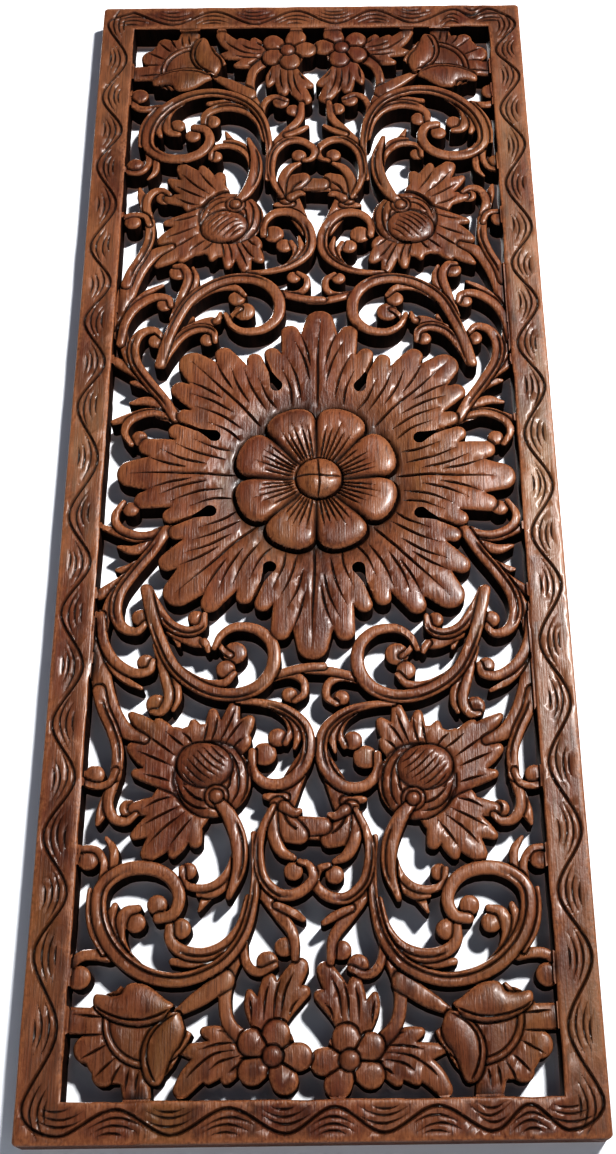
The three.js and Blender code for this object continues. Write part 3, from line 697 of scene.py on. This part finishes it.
def carveEntry(quarter, entry):
    level, widths, spine, lines = entry
    turn = -quarter["side"] * quarter["end"]
    carveStroke([place(quarter, u, v) for u, v in spine], widths, board["levels"][level], lines, turn=turn)


def carveLeaf(quarter, leaf):
    strokes = [([place(quarter, u, v) for u, v in spine], widths) for widths, spine in leaf["fingers"]]
    discs = [(*place(quarter, u, v), radius) for u, v, radius in leaf["base"]]
    carvePlate(strokes, discs, leaf["top"], arch=0.5)


def carveQuarter(quarter):
    entries = [entry for motif in pattern.values() for entry in motif.values()]
    for u, v, radius in eyes:
        carveDome(*place(quarter, u, v), radius, radius, 0, 17.0, drop=1.9, flat=0.5)
    for name in ("cornerFlower", "smallLeaf", "leafOverBud", "leafUnderBud"):
        carveLeaf(quarter, leafPlates[name])
    for points in leafCuts:
        cut([place(quarter, u, v) for u, v in points], 2.0, 1.9, ends=0.4)
    for entry in sorted(entries, key=lambda e: e[0]):
        carveEntry(quarter, entry)
    carveBud(quarter)
    carveCorner(quarter)
    carveLeaf(quarter, leafPlates["smallFlower"])
    for points in smallFlower["creases"]:
        cut([place(quarter, u, v) for u, v in points], 2.4, 2.6, ends=0.05)
    button = smallFlower["button"]
    carveDome(*place(quarter, smallFlower["u"], smallFlower["v"]), button, button, 0, 18.6, drop=3,
              flat=0.9)


def carveBud(quarter):
    u, v, radius = bud["ball"]
    carveDome(*place(quarter, u, v), radius, radius, 0, bud["ballTop"], drop=5.0, flat=0.9, stopDepth=1.0)
    for points in bud["wraps"]:
        cut([place(quarter, u, v) for u, v in points], 2.2, 2.0, ends=0.3)
    x, z = place(quarter, bud["u"], bud["v"])
    tilt = -bud["turn"] * quarter["side"] * quarter["end"]
    carveDome(x, z, bud["along"], bud["across"], tilt, bud["top"], drop=4.0, flat=0.95, stopDepth=1.4)
    for k in range(bud["cuts"]):                # slanting cuts across the bud
        off = (k - (bud["cuts"] - 1) / 2) * bud["cutPitch"] + 2.0
        reach = math.sqrt(max(bud["cutReach"] ** 2 - off ** 2, 9)) * 0.85
        points = []
        for s in (-1, 0, 1):
            du = off * 0.72 + s * reach * 0.72
            dv = off * 0.72 - s * reach * 0.72 + 2.0 * (1 - s * s)
            points.append((x + quarter["side"] * du * 1.1, z + quarter["end"] * dv))
        cut(points, 1.5, 1.3, ends=0.4)
    x, z = place(quarter, bud["knotU"], bud["knotV"])
    carveDome(x, z, 7.6, 7.6, 0, 17.8, drop=2.0, flat=0.5)
    carveEntry(quarter, pattern["budStem"]["stem"])
    carveDome(x, z, 4.6, 4.6, 0, 18.6, drop=2.4, flat=0.9)


def carveCorner(quarter):
    x, z = place(quarter, cornerPods["fanU"], cornerPods["fanV"])
    radius = cornerPods["fanRadius"]
    area = span(x - 34, x + 34, z - 34, z + 34)
    away = np.hypot(gridX[area] - x, gridZ[area] - z)
    half = (gridX[area] - x) * quarter["side"] * 0.55 + (gridZ[area] - z) * quarter["end"] * 0.85 + 8
    deep = np.minimum(radius - away, half)
    ridge = np.clip(1 - np.abs(away - (radius - 1.6)) / 2.2, 0, 1)
    groove = np.clip(1 - np.abs(away - (radius - 4.0)) / 1.0, 0, 1)
    layForm(area, deep, 16.6 + 0.7 * ridge - 1.3 * groove - rounded(deep, 1.5, 1.0))
    # painted shade in the fan's groove
    paintedCutShade[area] = np.maximum(paintedCutShade[area], np.where(deep > 0, 0.9 * groove, 0))
    for name, top in (("podOne", 17.6), ("podTwo", 18.2)):
        carveOutline([place(quarter, u, v) for u, v in cornerPods[name]], top, bulge=1.4)
        cut([place(quarter, u, v) for u, v in cornerPods[name + "Line"]], 2.0, 2.0, ends=0.15)


def carveBoard():
    for quarter in quarters:
        carveQuarter(quarter)
    print("openwork carved")
    carveRosette()
    print("rosette carved")
    carveBorder()
    print("border carved")
    tool = 0.16 * valueNoise(21, 7, 9) + 0.07 * valueNoise(22, 2.2, 5) + 0.05 * valueNoise(23, 1.3, 14)
    wood = depthIn > 0
    height[wood] = np.minimum(height[wood] + tool[wood], board["thick"] - 0.02)


carveBoard()


# The mesh of the carved face: each cell of samples is cut along the wood's outline, walls drop from the
# outline to the flat back, and the whole is thinned before the back is closed.
def faceMesh():
    nz, nx = depthIn.shape
    index = np.arange(nx * nz).reshape(nz, nx)
    solid = depthIn.ravel()
    face = np.where(height < 0, 0, height).ravel()
    a, b = index[:-1, :-1].ravel(), index[:-1, 1:].ravel()
    c, d = index[1:, 1:].ravel(), index[1:, :-1].ravel()
    tris = np.vstack([np.column_stack([a, b, c]), np.column_stack([a, c, d])])
    inside = solid[tris] > 0
    count = inside.sum(axis=1)
    whole = tris[count == 3]
    lone, lost = tris[count == 1], tris[count == 2]
    lone = np.take_along_axis(lone, (np.argmax(inside[count == 1], axis=1)[:, None] + [0, 1, 2]) % 3,
                              axis=1)
    lost = np.take_along_axis(lost, (np.argmin(inside[count == 2], axis=1)[:, None] + [0, 1, 2]) % 3,
                              axis=1)

    def edgeKey(p, q):
        return np.minimum(p, q).astype(np.int64) * (nx * nz) + np.maximum(p, q)

    oneA, oneB = edgeKey(lone[:, 0], lone[:, 1]), edgeKey(lone[:, 0], lone[:, 2])
    twoA, twoB = edgeKey(lost[:, 0], lost[:, 1]), edgeKey(lost[:, 0], lost[:, 2])
    keys, place = np.unique(np.concatenate([oneA, oneB, twoA, twoB]), return_inverse=True)
    p, q = keys // (nx * nz), keys % (nx * nz)
    t = np.clip(solid[p] / (solid[p] - solid[q]), 0.06, 0.94)
    px, pz = xLine[p % nx] * (1 - t) + xLine[q % nx] * t, zLine[p // nx] * (1 - t) + zLine[q // nx] * t
    inP = solid[p] > 0
    top = np.where(inP, face[p], face[q])
    other = np.where(inP, face[q], face[p])
    top = np.where(other > 5, np.minimum(top, face[p] * (1 - t) + face[q] * t), top)
    n1, n2 = len(lone), len(lost)
    place = place + nx * nz
    kOneA, kOneB = place[:n1], place[n1:2 * n1]
    kTwoA, kTwoB = place[2 * n1:2 * n1 + n2], place[2 * n1 + n2:]
    faces = np.vstack([whole, np.column_stack([lone[:, 0], kOneA, kOneB]),
                       np.column_stack([kTwoA, lost[:, 1], lost[:, 2]]),
                       np.column_stack([kTwoA, lost[:, 2], kTwoB])])
    rim = np.vstack([np.column_stack([kOneA, kOneB]), np.column_stack([kTwoB, kTwoA])])
    gx, gz = gridX.ravel(), gridZ.ravel()
    points = np.vstack([np.column_stack([gx, -face, gz]), np.column_stack([px, -top, pz])])
    foot = np.unique(rim)
    footIndex = np.full(len(points), -1)
    footIndex[foot] = len(points) + np.arange(len(foot))
    low = points[foot].copy()
    low[:, 1] = 0
    points = np.vstack([points, low])
    s, e = rim[:, 0], rim[:, 1]
    faces = np.vstack([faces, np.column_stack([e, s, footIndex[s]]),
                       np.column_stack([e, footIndex[s], footIndex[e]])])
    used, faces = np.unique(faces, return_inverse=True)
    faces = faces.reshape(-1, 3)
    mesh = bpy.data.meshes.new("carvedPanel")
    verts = points[used] * mm
    mesh.vertices.add(len(verts))
    mesh.vertices.foreach_set("co", verts.astype(np.float32).ravel())
    mesh.loops.add(len(faces) * 3)
    mesh.loops.foreach_set("vertex_index", faces.astype(np.int32).ravel())
    mesh.polygons.add(len(faces))
    mesh.polygons.foreach_set("loop_start", np.arange(0, len(faces) * 3, 3, dtype=np.int32))
    mesh.update(calc_edges=True)
    return mesh


def thinOut(piece, keep):                       # fewer triangles where the carving is plain
    now = len(piece.data.polygons)
    if now <= keep:
        return
    thin = piece.modifiers.new("thin", "DECIMATE")
    thin.ratio = keep / now
    graph = bpy.context.evaluated_depsgraph_get()
    mesh = bpy.data.meshes.new_from_object(piece.evaluated_get(graph))
    piece.modifiers.clear()
    old = piece.data
    piece.data = mesh
    bpy.data.meshes.remove(old)


def keepInside(piece, low, high):               # thinning moves some points a few hundredths outside
    count = len(piece.data.vertices)
    spots = np.empty(count * 3)
    piece.data.vertices.foreach_get("co", spots)
    spots = np.clip(spots.reshape(-1, 3), low, high)
    piece.data.vertices.foreach_set("co", spots.ravel())
    piece.data.update()


def between(field, i, j, s, t):                 # the value between four samples
    return (field[j, i] * (1 - s) + field[j, i + 1] * s) * (1 - t) \
        + (field[j + 1, i] * (1 - s) + field[j + 1, i + 1] * s) * t


def closeBack(piece):                           # a flat back inside the walls; it leaves a few small gaps
    work = bmesh.new()
    work.from_mesh(piece.data)
    work.verts.ensure_lookup_table()
    rim = [edge for edge in work.edges if edge.is_boundary]
    feet = sorted({v.index for edge in rim for v in edge.verts})
    for k in feet:
        work.verts[k].co.y = 0.0
    order = {k: n for n, k in enumerate(feet)}
    flat = [Vector((work.verts[k].co.x, work.verts[k].co.z)) for k in feet]
    links = [(order[edge.verts[0].index], order[edge.verts[1].index]) for edge in rim]
    spots, _, faces, origin, _, _ = geometry.delaunay_2d_cdt(flat, links, [], 0, 1e-7)
    corner = []
    for n, spot in enumerate(spots):
        known = origin[n]
        corner.append(work.verts[feet[known[0]]] if known else work.verts.new((spot.x, 0.0, spot.y)))
    made = 0
    for trio in faces:
        middle = sum((spots[k] for k in trio), Vector((0, 0))) / 3 / mm
        fi, fj = (middle.x - xLine[0]) / board["step"], (middle.y - zLine[0]) / board["step"]
        i, j = int(fi), int(fj)
        if not (0 <= i < len(xLine) - 1 and 0 <= j < len(zLine) - 1):
            continue
        if between(depthIn, i, j, fi - i, fj - j) < 0:
            continue
        try:
            work.faces.new([corner[k] for k in reversed(trio)])
            made += 1
        except ValueError:
            pass
    print("back closed with", made, "triangles")
    bmesh.ops.recalc_face_normals(work, faces=work.faces)
    work.to_mesh(piece.data)
    work.free()


def feed(join, value, socket):                  # a link or a fixed value
    if hasattr(value, "is_linked"):
        join(value, socket)
    else:
        socket.default_value = value


def boxBlur(field, radius):                     # mean over a square of samples
    n = max(int(round(radius / board["step"])), 1)
    for axis in (0, 1):
        pad = [(n + 1, n) if k == axis else (0, 0) for k in (0, 1)]
        total = np.cumsum(np.pad(field, pad, mode="edge"), axis=axis)
        size = field.shape[axis]
        upper = np.take(total, np.arange(2 * n + 1, 2 * n + 1 + size), axis=axis)
        lower = np.take(total, np.arange(0, size), axis=axis)
        field = (upper - lower) / (2 * n + 1)
    return field


def sampleAt(field, verts):
    fi = np.clip((verts[:, 0] - xLine[0]) / board["step"], 0, len(xLine) - 1.001)
    fj = np.clip((verts[:, 2] - zLine[0]) / board["step"], 0, len(zLine) - 1.001)
    i, j = fi.astype(int), fj.astype(int)
    return between(field, i, j, fi - i, fj - j)


def paintFinish(mesh):                          # painted shade in cuts, hollows and low places; rubbed ridges with painted highlight; pale bare wear with painted sheen; wax
    relief = np.where(depthIn > 0, height, 9.0)
    fine = relief - boxBlur(boxBlur(relief, 1.3), 1.3)
    broad = relief - boxBlur(boxBlur(relief, 5.0), 5.0)
    # ridges lighter: rubbed wear and painted highlight
    rubbedAndHighlit = np.clip(fine * 0.9, 0, 1)
    # painted shade in hollows, from how far the relief lies below its neighbourhood
    paintedHollowShade = np.clip(-fine * 1.1, 0, 1) * 0.8 + np.clip(-broad * 0.22, 0, 0.5)
    # painted shade: the lower the relief, the darker
    low = 0.4 * (1 - ease(relief, 12.0, 16.0))
    # dark is painted shade: the cuts' shade, the hollows and the low relief
    dark = np.clip(paintedCutShade * 0.9 + np.where(depthIn > 0, paintedHollowShade + low, 0), 0, 1)
    verts = np.empty(len(mesh.vertices) * 3, np.float32)
    mesh.vertices.foreach_get("co", verts)
    verts = verts.reshape(-1, 3) / mm
    # worn carries pale painted sheen as well as wear
    worn = sampleAt(wearAndSheenField(), verts)
    waxed = np.clip(-broad * 0.35, 0, 1) * (depthIn > 0) * (0.6 + 0.5 * valueNoise(41, 18, 18))
    for name, values in (("dark", sampleAt(dark, verts)), ("rubbedAndHighlit", sampleAt(rubbedAndHighlit, verts)),
                         ("worn", worn),
                         ("waxed", sampleAt(np.clip(waxed, 0, 1), verts))):
        layer = mesh.attributes.new(name, "FLOAT", "POINT")
        layer.data.foreach_set("value", values.astype(np.float32))


wearAndSheenPlaces = [                                # pale places, painted sheen and bare wear: x, z, spread across and along, how much
    (-59, 14, 6, 8, 0.9), (-62, -6, 5, 9, 1.0), (-57, -24, 7, 6, 0.7), (-40, 48, 9, 5, 0.5),
    (52, -360, 5, 10, 0.8), (-50, -358, 4, 9, 0.5), (113, -128, 4, 26, 0.9), (-112, -120, 3, 18, 0.4),
    (34, -214, 6, 6, 0.6), (139, -343, 5, 4, 0.5), (10, -152, 14, 3, 0.6), (-30, -60, 14, 5, 0.4),
    (112, 125, 3, 20, 0.4), (-101, 300, 8, 6, 0.3), (60, 262, 4, 10, 0.4), (-58, 258, 4, 10, 0.5),
]


def wearAndSheenField():                                # pale painted sheen and wear on the rails, palest half way up the right one
    right = ease(gridX, 148, 152) * (0.22 + 0.5 * np.exp(-((gridZ - 60) / 260) ** 2))
    left = ease(-gridX, 148, 152) * (0.12 + 0.3 * np.exp(-((gridZ - 40) / 130) ** 2))
    field = np.maximum(right, left) * (0.8 + 0.35 * valueNoise(31, 12, 60))
    for x, z, alongX, alongZ, much in wearAndSheenPlaces:
        bare = np.exp(-((gridX - x) / alongX) ** 2 - ((gridZ - z) / alongZ) ** 2)
        field = np.maximum(field, much * bare * (0.85 + 0.5 * valueNoise(37, 2.5, 7)))
    return np.clip(field, 0, 1)


def nodeChain(material):                        # short ways to add and join shader nodes
    tree = material.node_tree

    def add(kind, **settings):
        node = tree.nodes.new(kind)
        for name, value in settings.items():
            if name in node.inputs:
                node.inputs[name].default_value = value
            else:
                setattr(node, name, value)
        return node

    def join(source, target):
        tree.links.new(source, target)
    return add, join


# deep is the painted shade for cuts and hollows; light also gives painted highlights on ridges; pale gives
# painted sheen and wear
teak = {
    "deep": (0.005, 0.0019, 0.0012, 1), "shade": (0.040, 0.0112, 0.0054, 1),
    "body": (0.122, 0.0385, 0.0178, 1),
    "gold": (0.190, 0.092, 0.030, 1), "red": (0.125, 0.026, 0.013, 1),
    "light": (0.235, 0.098, 0.044, 1), "pale": (0.36, 0.262, 0.17, 1), "wax": (0.080, 0.060, 0.036, 1),
    "roughness": (0.30, 0.56), "gloss": 0.3, "coat": 0.09, "coatRoughness": 0.2,
}

sawn = {                                        # the sides of the openwork (nearly black, painted shade), the plain back, the outer rim
    "side": {"dark": (0.007, 0.0028, 0.0017, 1), "light": (0.030, 0.0105, 0.0055, 1), "gloss": 0.12,
             "rough": 0.85,
             "stretch": (420, 26, 420)},
    "back": {"dark": (0.060, 0.024, 0.013, 1), "light": (0.170, 0.078, 0.044, 1), "gloss": 0.25,
             "rough": 0.72,
             "stretch": (520, 520, 16)},
    "rim": {"dark": (0.042, 0.016, 0.009, 1), "light": (0.120, 0.048, 0.026, 1), "gloss": 0.25,
            "rough": 0.6,
            "stretch": (420, 420, 16)},
    "rimReach": 0.0012,
}


def sawnFinish(name):
    values = sawn[name]
    material = bpy.data.materials.new("sawnTeak" + name.capitalize())
    material.use_nodes = True
    add, join = nodeChain(material)
    shader = material.node_tree.nodes["Principled BSDF"]
    shader.inputs["Roughness"].default_value = values["rough"]
    shader.inputs["Specular IOR Level"].default_value = values["gloss"]
    mapping = add("ShaderNodeMapping")
    mapping.inputs["Scale"].default_value = values["stretch"]
    join(add("ShaderNodeTexCoord").outputs["Object"], mapping.inputs["Vector"])
    streak = add("ShaderNodeTexNoise", Scale=1.0, Detail=4.0, Roughness=0.65)
    join(mapping.outputs["Vector"], streak.inputs["Vector"])
    tone = add("ShaderNodeValToRGB")
    tone.color_ramp.elements[0].position = 0.32
    tone.color_ramp.elements[1].position = 0.7
    tone.color_ramp.elements[0].color = values["dark"]
    tone.color_ramp.elements[1].color = values["light"]
    join(streak.outputs["Fac"], tone.inputs["Fac"])
    join(tone.outputs["Color"], shader.inputs["Base Color"])
    marks = add("ShaderNodeBump", Strength=0.4, Distance=0.0005)
    join(streak.outputs["Fac"], marks.inputs["Height"])
    join(marks.outputs["Normal"], shader.inputs["Normal"])
    return material


def shareFinishes(mesh):                        # waxed face, sawn sides darkened as painted shade, plain back, outer rim
    for material in (teakFinish(), sawnFinish("side"), sawnFinish("back"), sawnFinish("rim")):
        mesh.materials.append(material)
    normals = np.empty(len(mesh.polygons) * 3, np.float32)
    mesh.polygons.foreach_get("normal", normals)
    facing = normals.reshape(-1, 3)[:, 1]
    part = np.where(facing < -0.22, 0, np.where(facing > 0.5, 2, 1)).astype(np.int32)
    middles = np.empty(len(mesh.polygons) * 3, np.float32)
    mesh.polygons.foreach_get("center", middles)
    low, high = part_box("carved_panel")
    far = np.maximum(np.abs(middles[0::3]) - high.x, np.abs(middles[2::3]) - high.z)
    part[(part == 1) & (far > -sawn["rimReach"])] = 3
    mesh.polygons.foreach_set("material_index", part)


def teakFinish():
    material = bpy.data.materials.new("stainedTeak")
    material.use_nodes = True
    material.node_tree.nodes.clear()
    add, join = nodeChain(material)
    output = add("ShaderNodeOutputMaterial")
    shader = add("ShaderNodeBsdfPrincipled")
    shader.inputs["Coat Weight"].default_value = teak["coat"]
    shader.inputs["Coat Roughness"].default_value = teak["coatRoughness"]
    shader.inputs["Specular IOR Level"].default_value = teak["gloss"]
    join(shader.outputs["BSDF"], output.inputs["Surface"])
    coords = add("ShaderNodeTexCoord")

    def noise(scale, detail, stretch, rough=0.55):
        mapping = add("ShaderNodeMapping")
        mapping.inputs["Scale"].default_value = stretch
        join(coords.outputs["Object"], mapping.inputs["Vector"])
        node = add("ShaderNodeTexNoise", Scale=scale, Detail=detail, Roughness=rough)
        join(mapping.outputs["Vector"], node.inputs["Vector"])
        return node.outputs["Fac"]

    def spread(value, low, high):               # stretches a value so that low becomes 0 and high 1
        node = add("ShaderNodeMapRange")
        node.inputs["From Min"].default_value = low
        node.inputs["From Max"].default_value = high
        join(value, node.inputs["Value"])
        return node.outputs["Result"]

    def blend(first, second, factor, kind="MIX"):
        node = add("ShaderNodeMix", data_type="RGBA", blend_type=kind)
        for value, socket in ((first, node.inputs[6]), (second, node.inputs[7]), (factor, node.inputs[0])):
            feed(join, value, socket)
        return node.outputs[2]

    def combine(kind, first, second):
        node = add("ShaderNodeMath", operation=kind)
        for value, socket in ((first, node.inputs[0]), (second, node.inputs[1])):
            feed(join, value, socket)
        return node.outputs[0]

    def painted(name):
        return add("ShaderNodeAttribute", attribute_name=name).outputs["Fac"]

    fibre = noise(1.0, 3, (900, 900, 38))
    figure = noise(1.0, 4, (95, 60, 5.5), 0.6)
    patch = noise(1.0, 3, (26, 26, 11))
    speck = noise(1.0, 2, (620, 620, 420))
    dark, rubbedAndHighlit, worn = painted("dark"), painted("rubbedAndHighlit"), painted("worn")
    tone = blend(teak["shade"], teak["body"], spread(figure, 0.3, 0.62))
    tone = blend(tone, teak["light"], combine("MULTIPLY", spread(patch, 0.4, 0.68), 0.8))
    golden = noise(1.0, 2, (17, 17, 9), 0.5)
    tone = blend(tone, teak["gold"], combine("MULTIPLY", spread(golden, 0.52, 0.72), 0.55))
    ruddy = noise(1.0, 3, (33, 33, 14), 0.5)
    tone = blend(tone, teak["red"], combine("MULTIPLY", spread(ruddy, 0.5, 0.75), 0.5))
    tone = blend(tone, teak["shade"], combine("MULTIPLY", spread(fibre, 0.46, 0.72), 0.85))
    # pale painted sheen and wear where worn is high
    ragged = combine("MULTIPLY", worn, spread(combine("ADD", patch, fibre), 0.75, 1.25))
    tone = blend(tone, teak["pale"], combine("MULTIPLY", ragged, 0.66))
    # ridges take the light tone as painted highlight and rubbed wear
    tone = blend(tone, teak["light"], combine("MULTIPLY", rubbedAndHighlit, spread(speck, 0.25, 0.6)))
    dusty = spread(combine("ADD", painted("waxed"), combine("MULTIPLY", speck, 0.5)), 0.45, 1.1)
    tone = blend(tone, teak["wax"], combine("MULTIPLY", dusty, 0.6))
    # deep over dark: painted shade in cuts, hollows and low places
    tone = blend(tone, teak["deep"], combine("MULTIPLY", dark, 0.93))
    join(tone, shader.inputs["Base Color"])
    rough = combine("ADD", spread(speck, -0.2, 1.6), combine("MULTIPLY", dark, 0.25))
    levels = add("ShaderNodeMapRange")
    levels.inputs["To Min"].default_value = teak["roughness"][0]
    levels.inputs["To Max"].default_value = teak["roughness"][1]
    join(rough, levels.inputs["Value"])
    join(levels.outputs["Result"], shader.inputs["Roughness"])
    grain = add("ShaderNodeBump", Strength=0.5, Distance=0.0006)
    join(combine("ADD", fibre, combine("MULTIPLY", speck, 0.5)), grain.inputs["Height"])
    join(grain.outputs["Normal"], shader.inputs["Normal"])
    return material


def buildPanel():
    mesh = faceMesh()
    piece = bpy.data.objects.new("carvedPanelRelief", mesh)
    bpy.context.scene.collection.objects.link(piece)
    print("relief mesh has", len(mesh.polygons), "triangles")
    thinOut(piece, board["triangles"])
    keepInside(piece, *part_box("carved_panel"))
    closeBack(piece)
    mesh = piece.data
    paintFinish(mesh)
    mesh.polygons.foreach_set("use_smooth", np.ones(len(mesh.polygons), bool))
    mesh.set_sharp_from_angle(angle=0.75)
    mesh.materials.clear()
    shareFinishes(mesh)
    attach(piece, "root")
    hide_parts("carved_panel")
    print("panel kept at", len(mesh.polygons), "triangles")


buildPanel()


# The wall behind, the floor, the lights and the camera.
studio = {
    "wall": (2.6, 2.9), "wallGap": 0.0015, "floorZ": -1.25,
    "wallColour": (0.86, 0.87, 0.89, 1), "floorColour": (0.78, 0.78, 0.78, 1),
    "keyPlace": (1.15, -2.25, 0.95), "keySize": 0.34, "keyPower": 12.0, "keySpread": 60,
    "fillPlace": (-1.2, -2.6, -0.2), "fillSize": 1.8, "fillPower": 0.5,
    "backPlace": (-0.9, 1.9, 2.6), "backSize": 1.4, "backPower": 150.0,
    "backdrop": (0.80, 0.81, 0.83, 1),          # what the camera sees past the wall
    "sky": (0.60, 0.74, 1.0, 1), "skyStrength": 0.12,
}


def plainSheet(name, corners, colour, oneSided):
    mesh = bpy.data.meshes.new(name)
    mesh.from_pydata(corners, [], [(0, 1, 2, 3)])
    material = bpy.data.materials.new(name)
    material.use_nodes = True
    add, join = nodeChain(material)
    shader = material.node_tree.nodes["Principled BSDF"]
    shader.inputs["Base Color"].default_value = colour
    shader.inputs["Roughness"].default_value = 0.9
    if oneSided:
        clear, mix = add("ShaderNodeBsdfTransparent"), add("ShaderNodeMixShader")
        join(add("ShaderNodeNewGeometry").outputs["Backfacing"], mix.inputs[0])
        join(shader.outputs[0], mix.inputs[1])
        join(clear.outputs[0], mix.inputs[2])
        join(mix.outputs[0], material.node_tree.nodes["Material Output"].inputs["Surface"])
    mesh.materials.append(material)
    sheet = bpy.data.objects.new(name, mesh)
    bpy.context.scene.collection.objects.link(sheet)
    sheet.visible_shadow = not oneSided         # so that the lamp behind reaches the back of the panel


def lamp(name, place, size, power, spread=180):
    light = bpy.data.lights.new(name, "AREA")
    light.shape = "DISK"
    light.size = size
    light.energy = power
    light.spread = math.radians(spread)
    thing = bpy.data.objects.new(name, light)
    thing.location = place
    thing.rotation_euler = (-Vector(place)).to_track_quat("-Z", "Y").to_euler()
    bpy.context.scene.collection.objects.link(thing)


def setStudio():
    w, h = studio["wall"][0] / 2, studio["wall"][1] / 2
    y, low = studio["wallGap"], studio["floorZ"]
    plainSheet("wall", [(-w, y, low), (w, y, low), (w, y, h), (-w, y, h)], studio["wallColour"], True)
    plainSheet("floor", [(-2, -2.6, low), (2, -2.6, low), (2, 1.6, low), (-2, 1.6, low)],
               studio["floorColour"], False)
    lamp("key", studio["keyPlace"], studio["keySize"], studio["keyPower"], studio["keySpread"])
    lamp("fill", studio["fillPlace"], studio["fillSize"], studio["fillPower"])
    lamp("back", studio["backPlace"], studio["backSize"], studio["backPower"])
    world = bpy.data.worlds.new("sky")
    bpy.context.scene.world = world
    world.use_nodes = True
    tree = world.node_tree
    glow = tree.nodes["Background"]
    glow.inputs["Color"].default_value = studio["sky"]
    glow.inputs["Strength"].default_value = studio["skyStrength"]
    seen, mix = tree.nodes.new("ShaderNodeBackground"), tree.nodes.new("ShaderNodeMixShader")
    seen.inputs["Color"].default_value = studio["backdrop"]
    tree.links.new(tree.nodes.new("ShaderNodeLightPath").outputs["Is Camera Ray"], mix.inputs[0])
    tree.links.new(glow.outputs[0], mix.inputs[1])
    tree.links.new(seen.outputs[0], mix.inputs[2])
    tree.links.new(mix.outputs[0], tree.nodes["World Output"].inputs["Surface"])
    bpy.context.scene.view_settings.view_transform = "Standard"
    bpy.context.scene.view_settings.look = "High Contrast"


setStudio()
print("studio set")

viewpoint = {"place": (0.0223, -0.9507, -0.5323), "turn": (116.313, 0.705, 0.072), "lens": 46.79,
             "shift": (-0.0369, -0.0159)}


def placeCamera():
    data = bpy.data.cameras.new("viewpoint")
    data.sensor_width = 36.0
    data.lens = viewpoint["lens"]
    data.shift_x, data.shift_y = viewpoint["shift"]
    data.clip_start = 0.05
    camera = bpy.data.objects.new("viewpoint", data)
    camera.location = viewpoint["place"]
    camera.rotation_euler = [math.radians(a) for a in viewpoint["turn"]]
    bpy.context.scene.collection.objects.link(camera)
    bpy.context.scene.camera = camera


placeCamera()
print("camera placed")
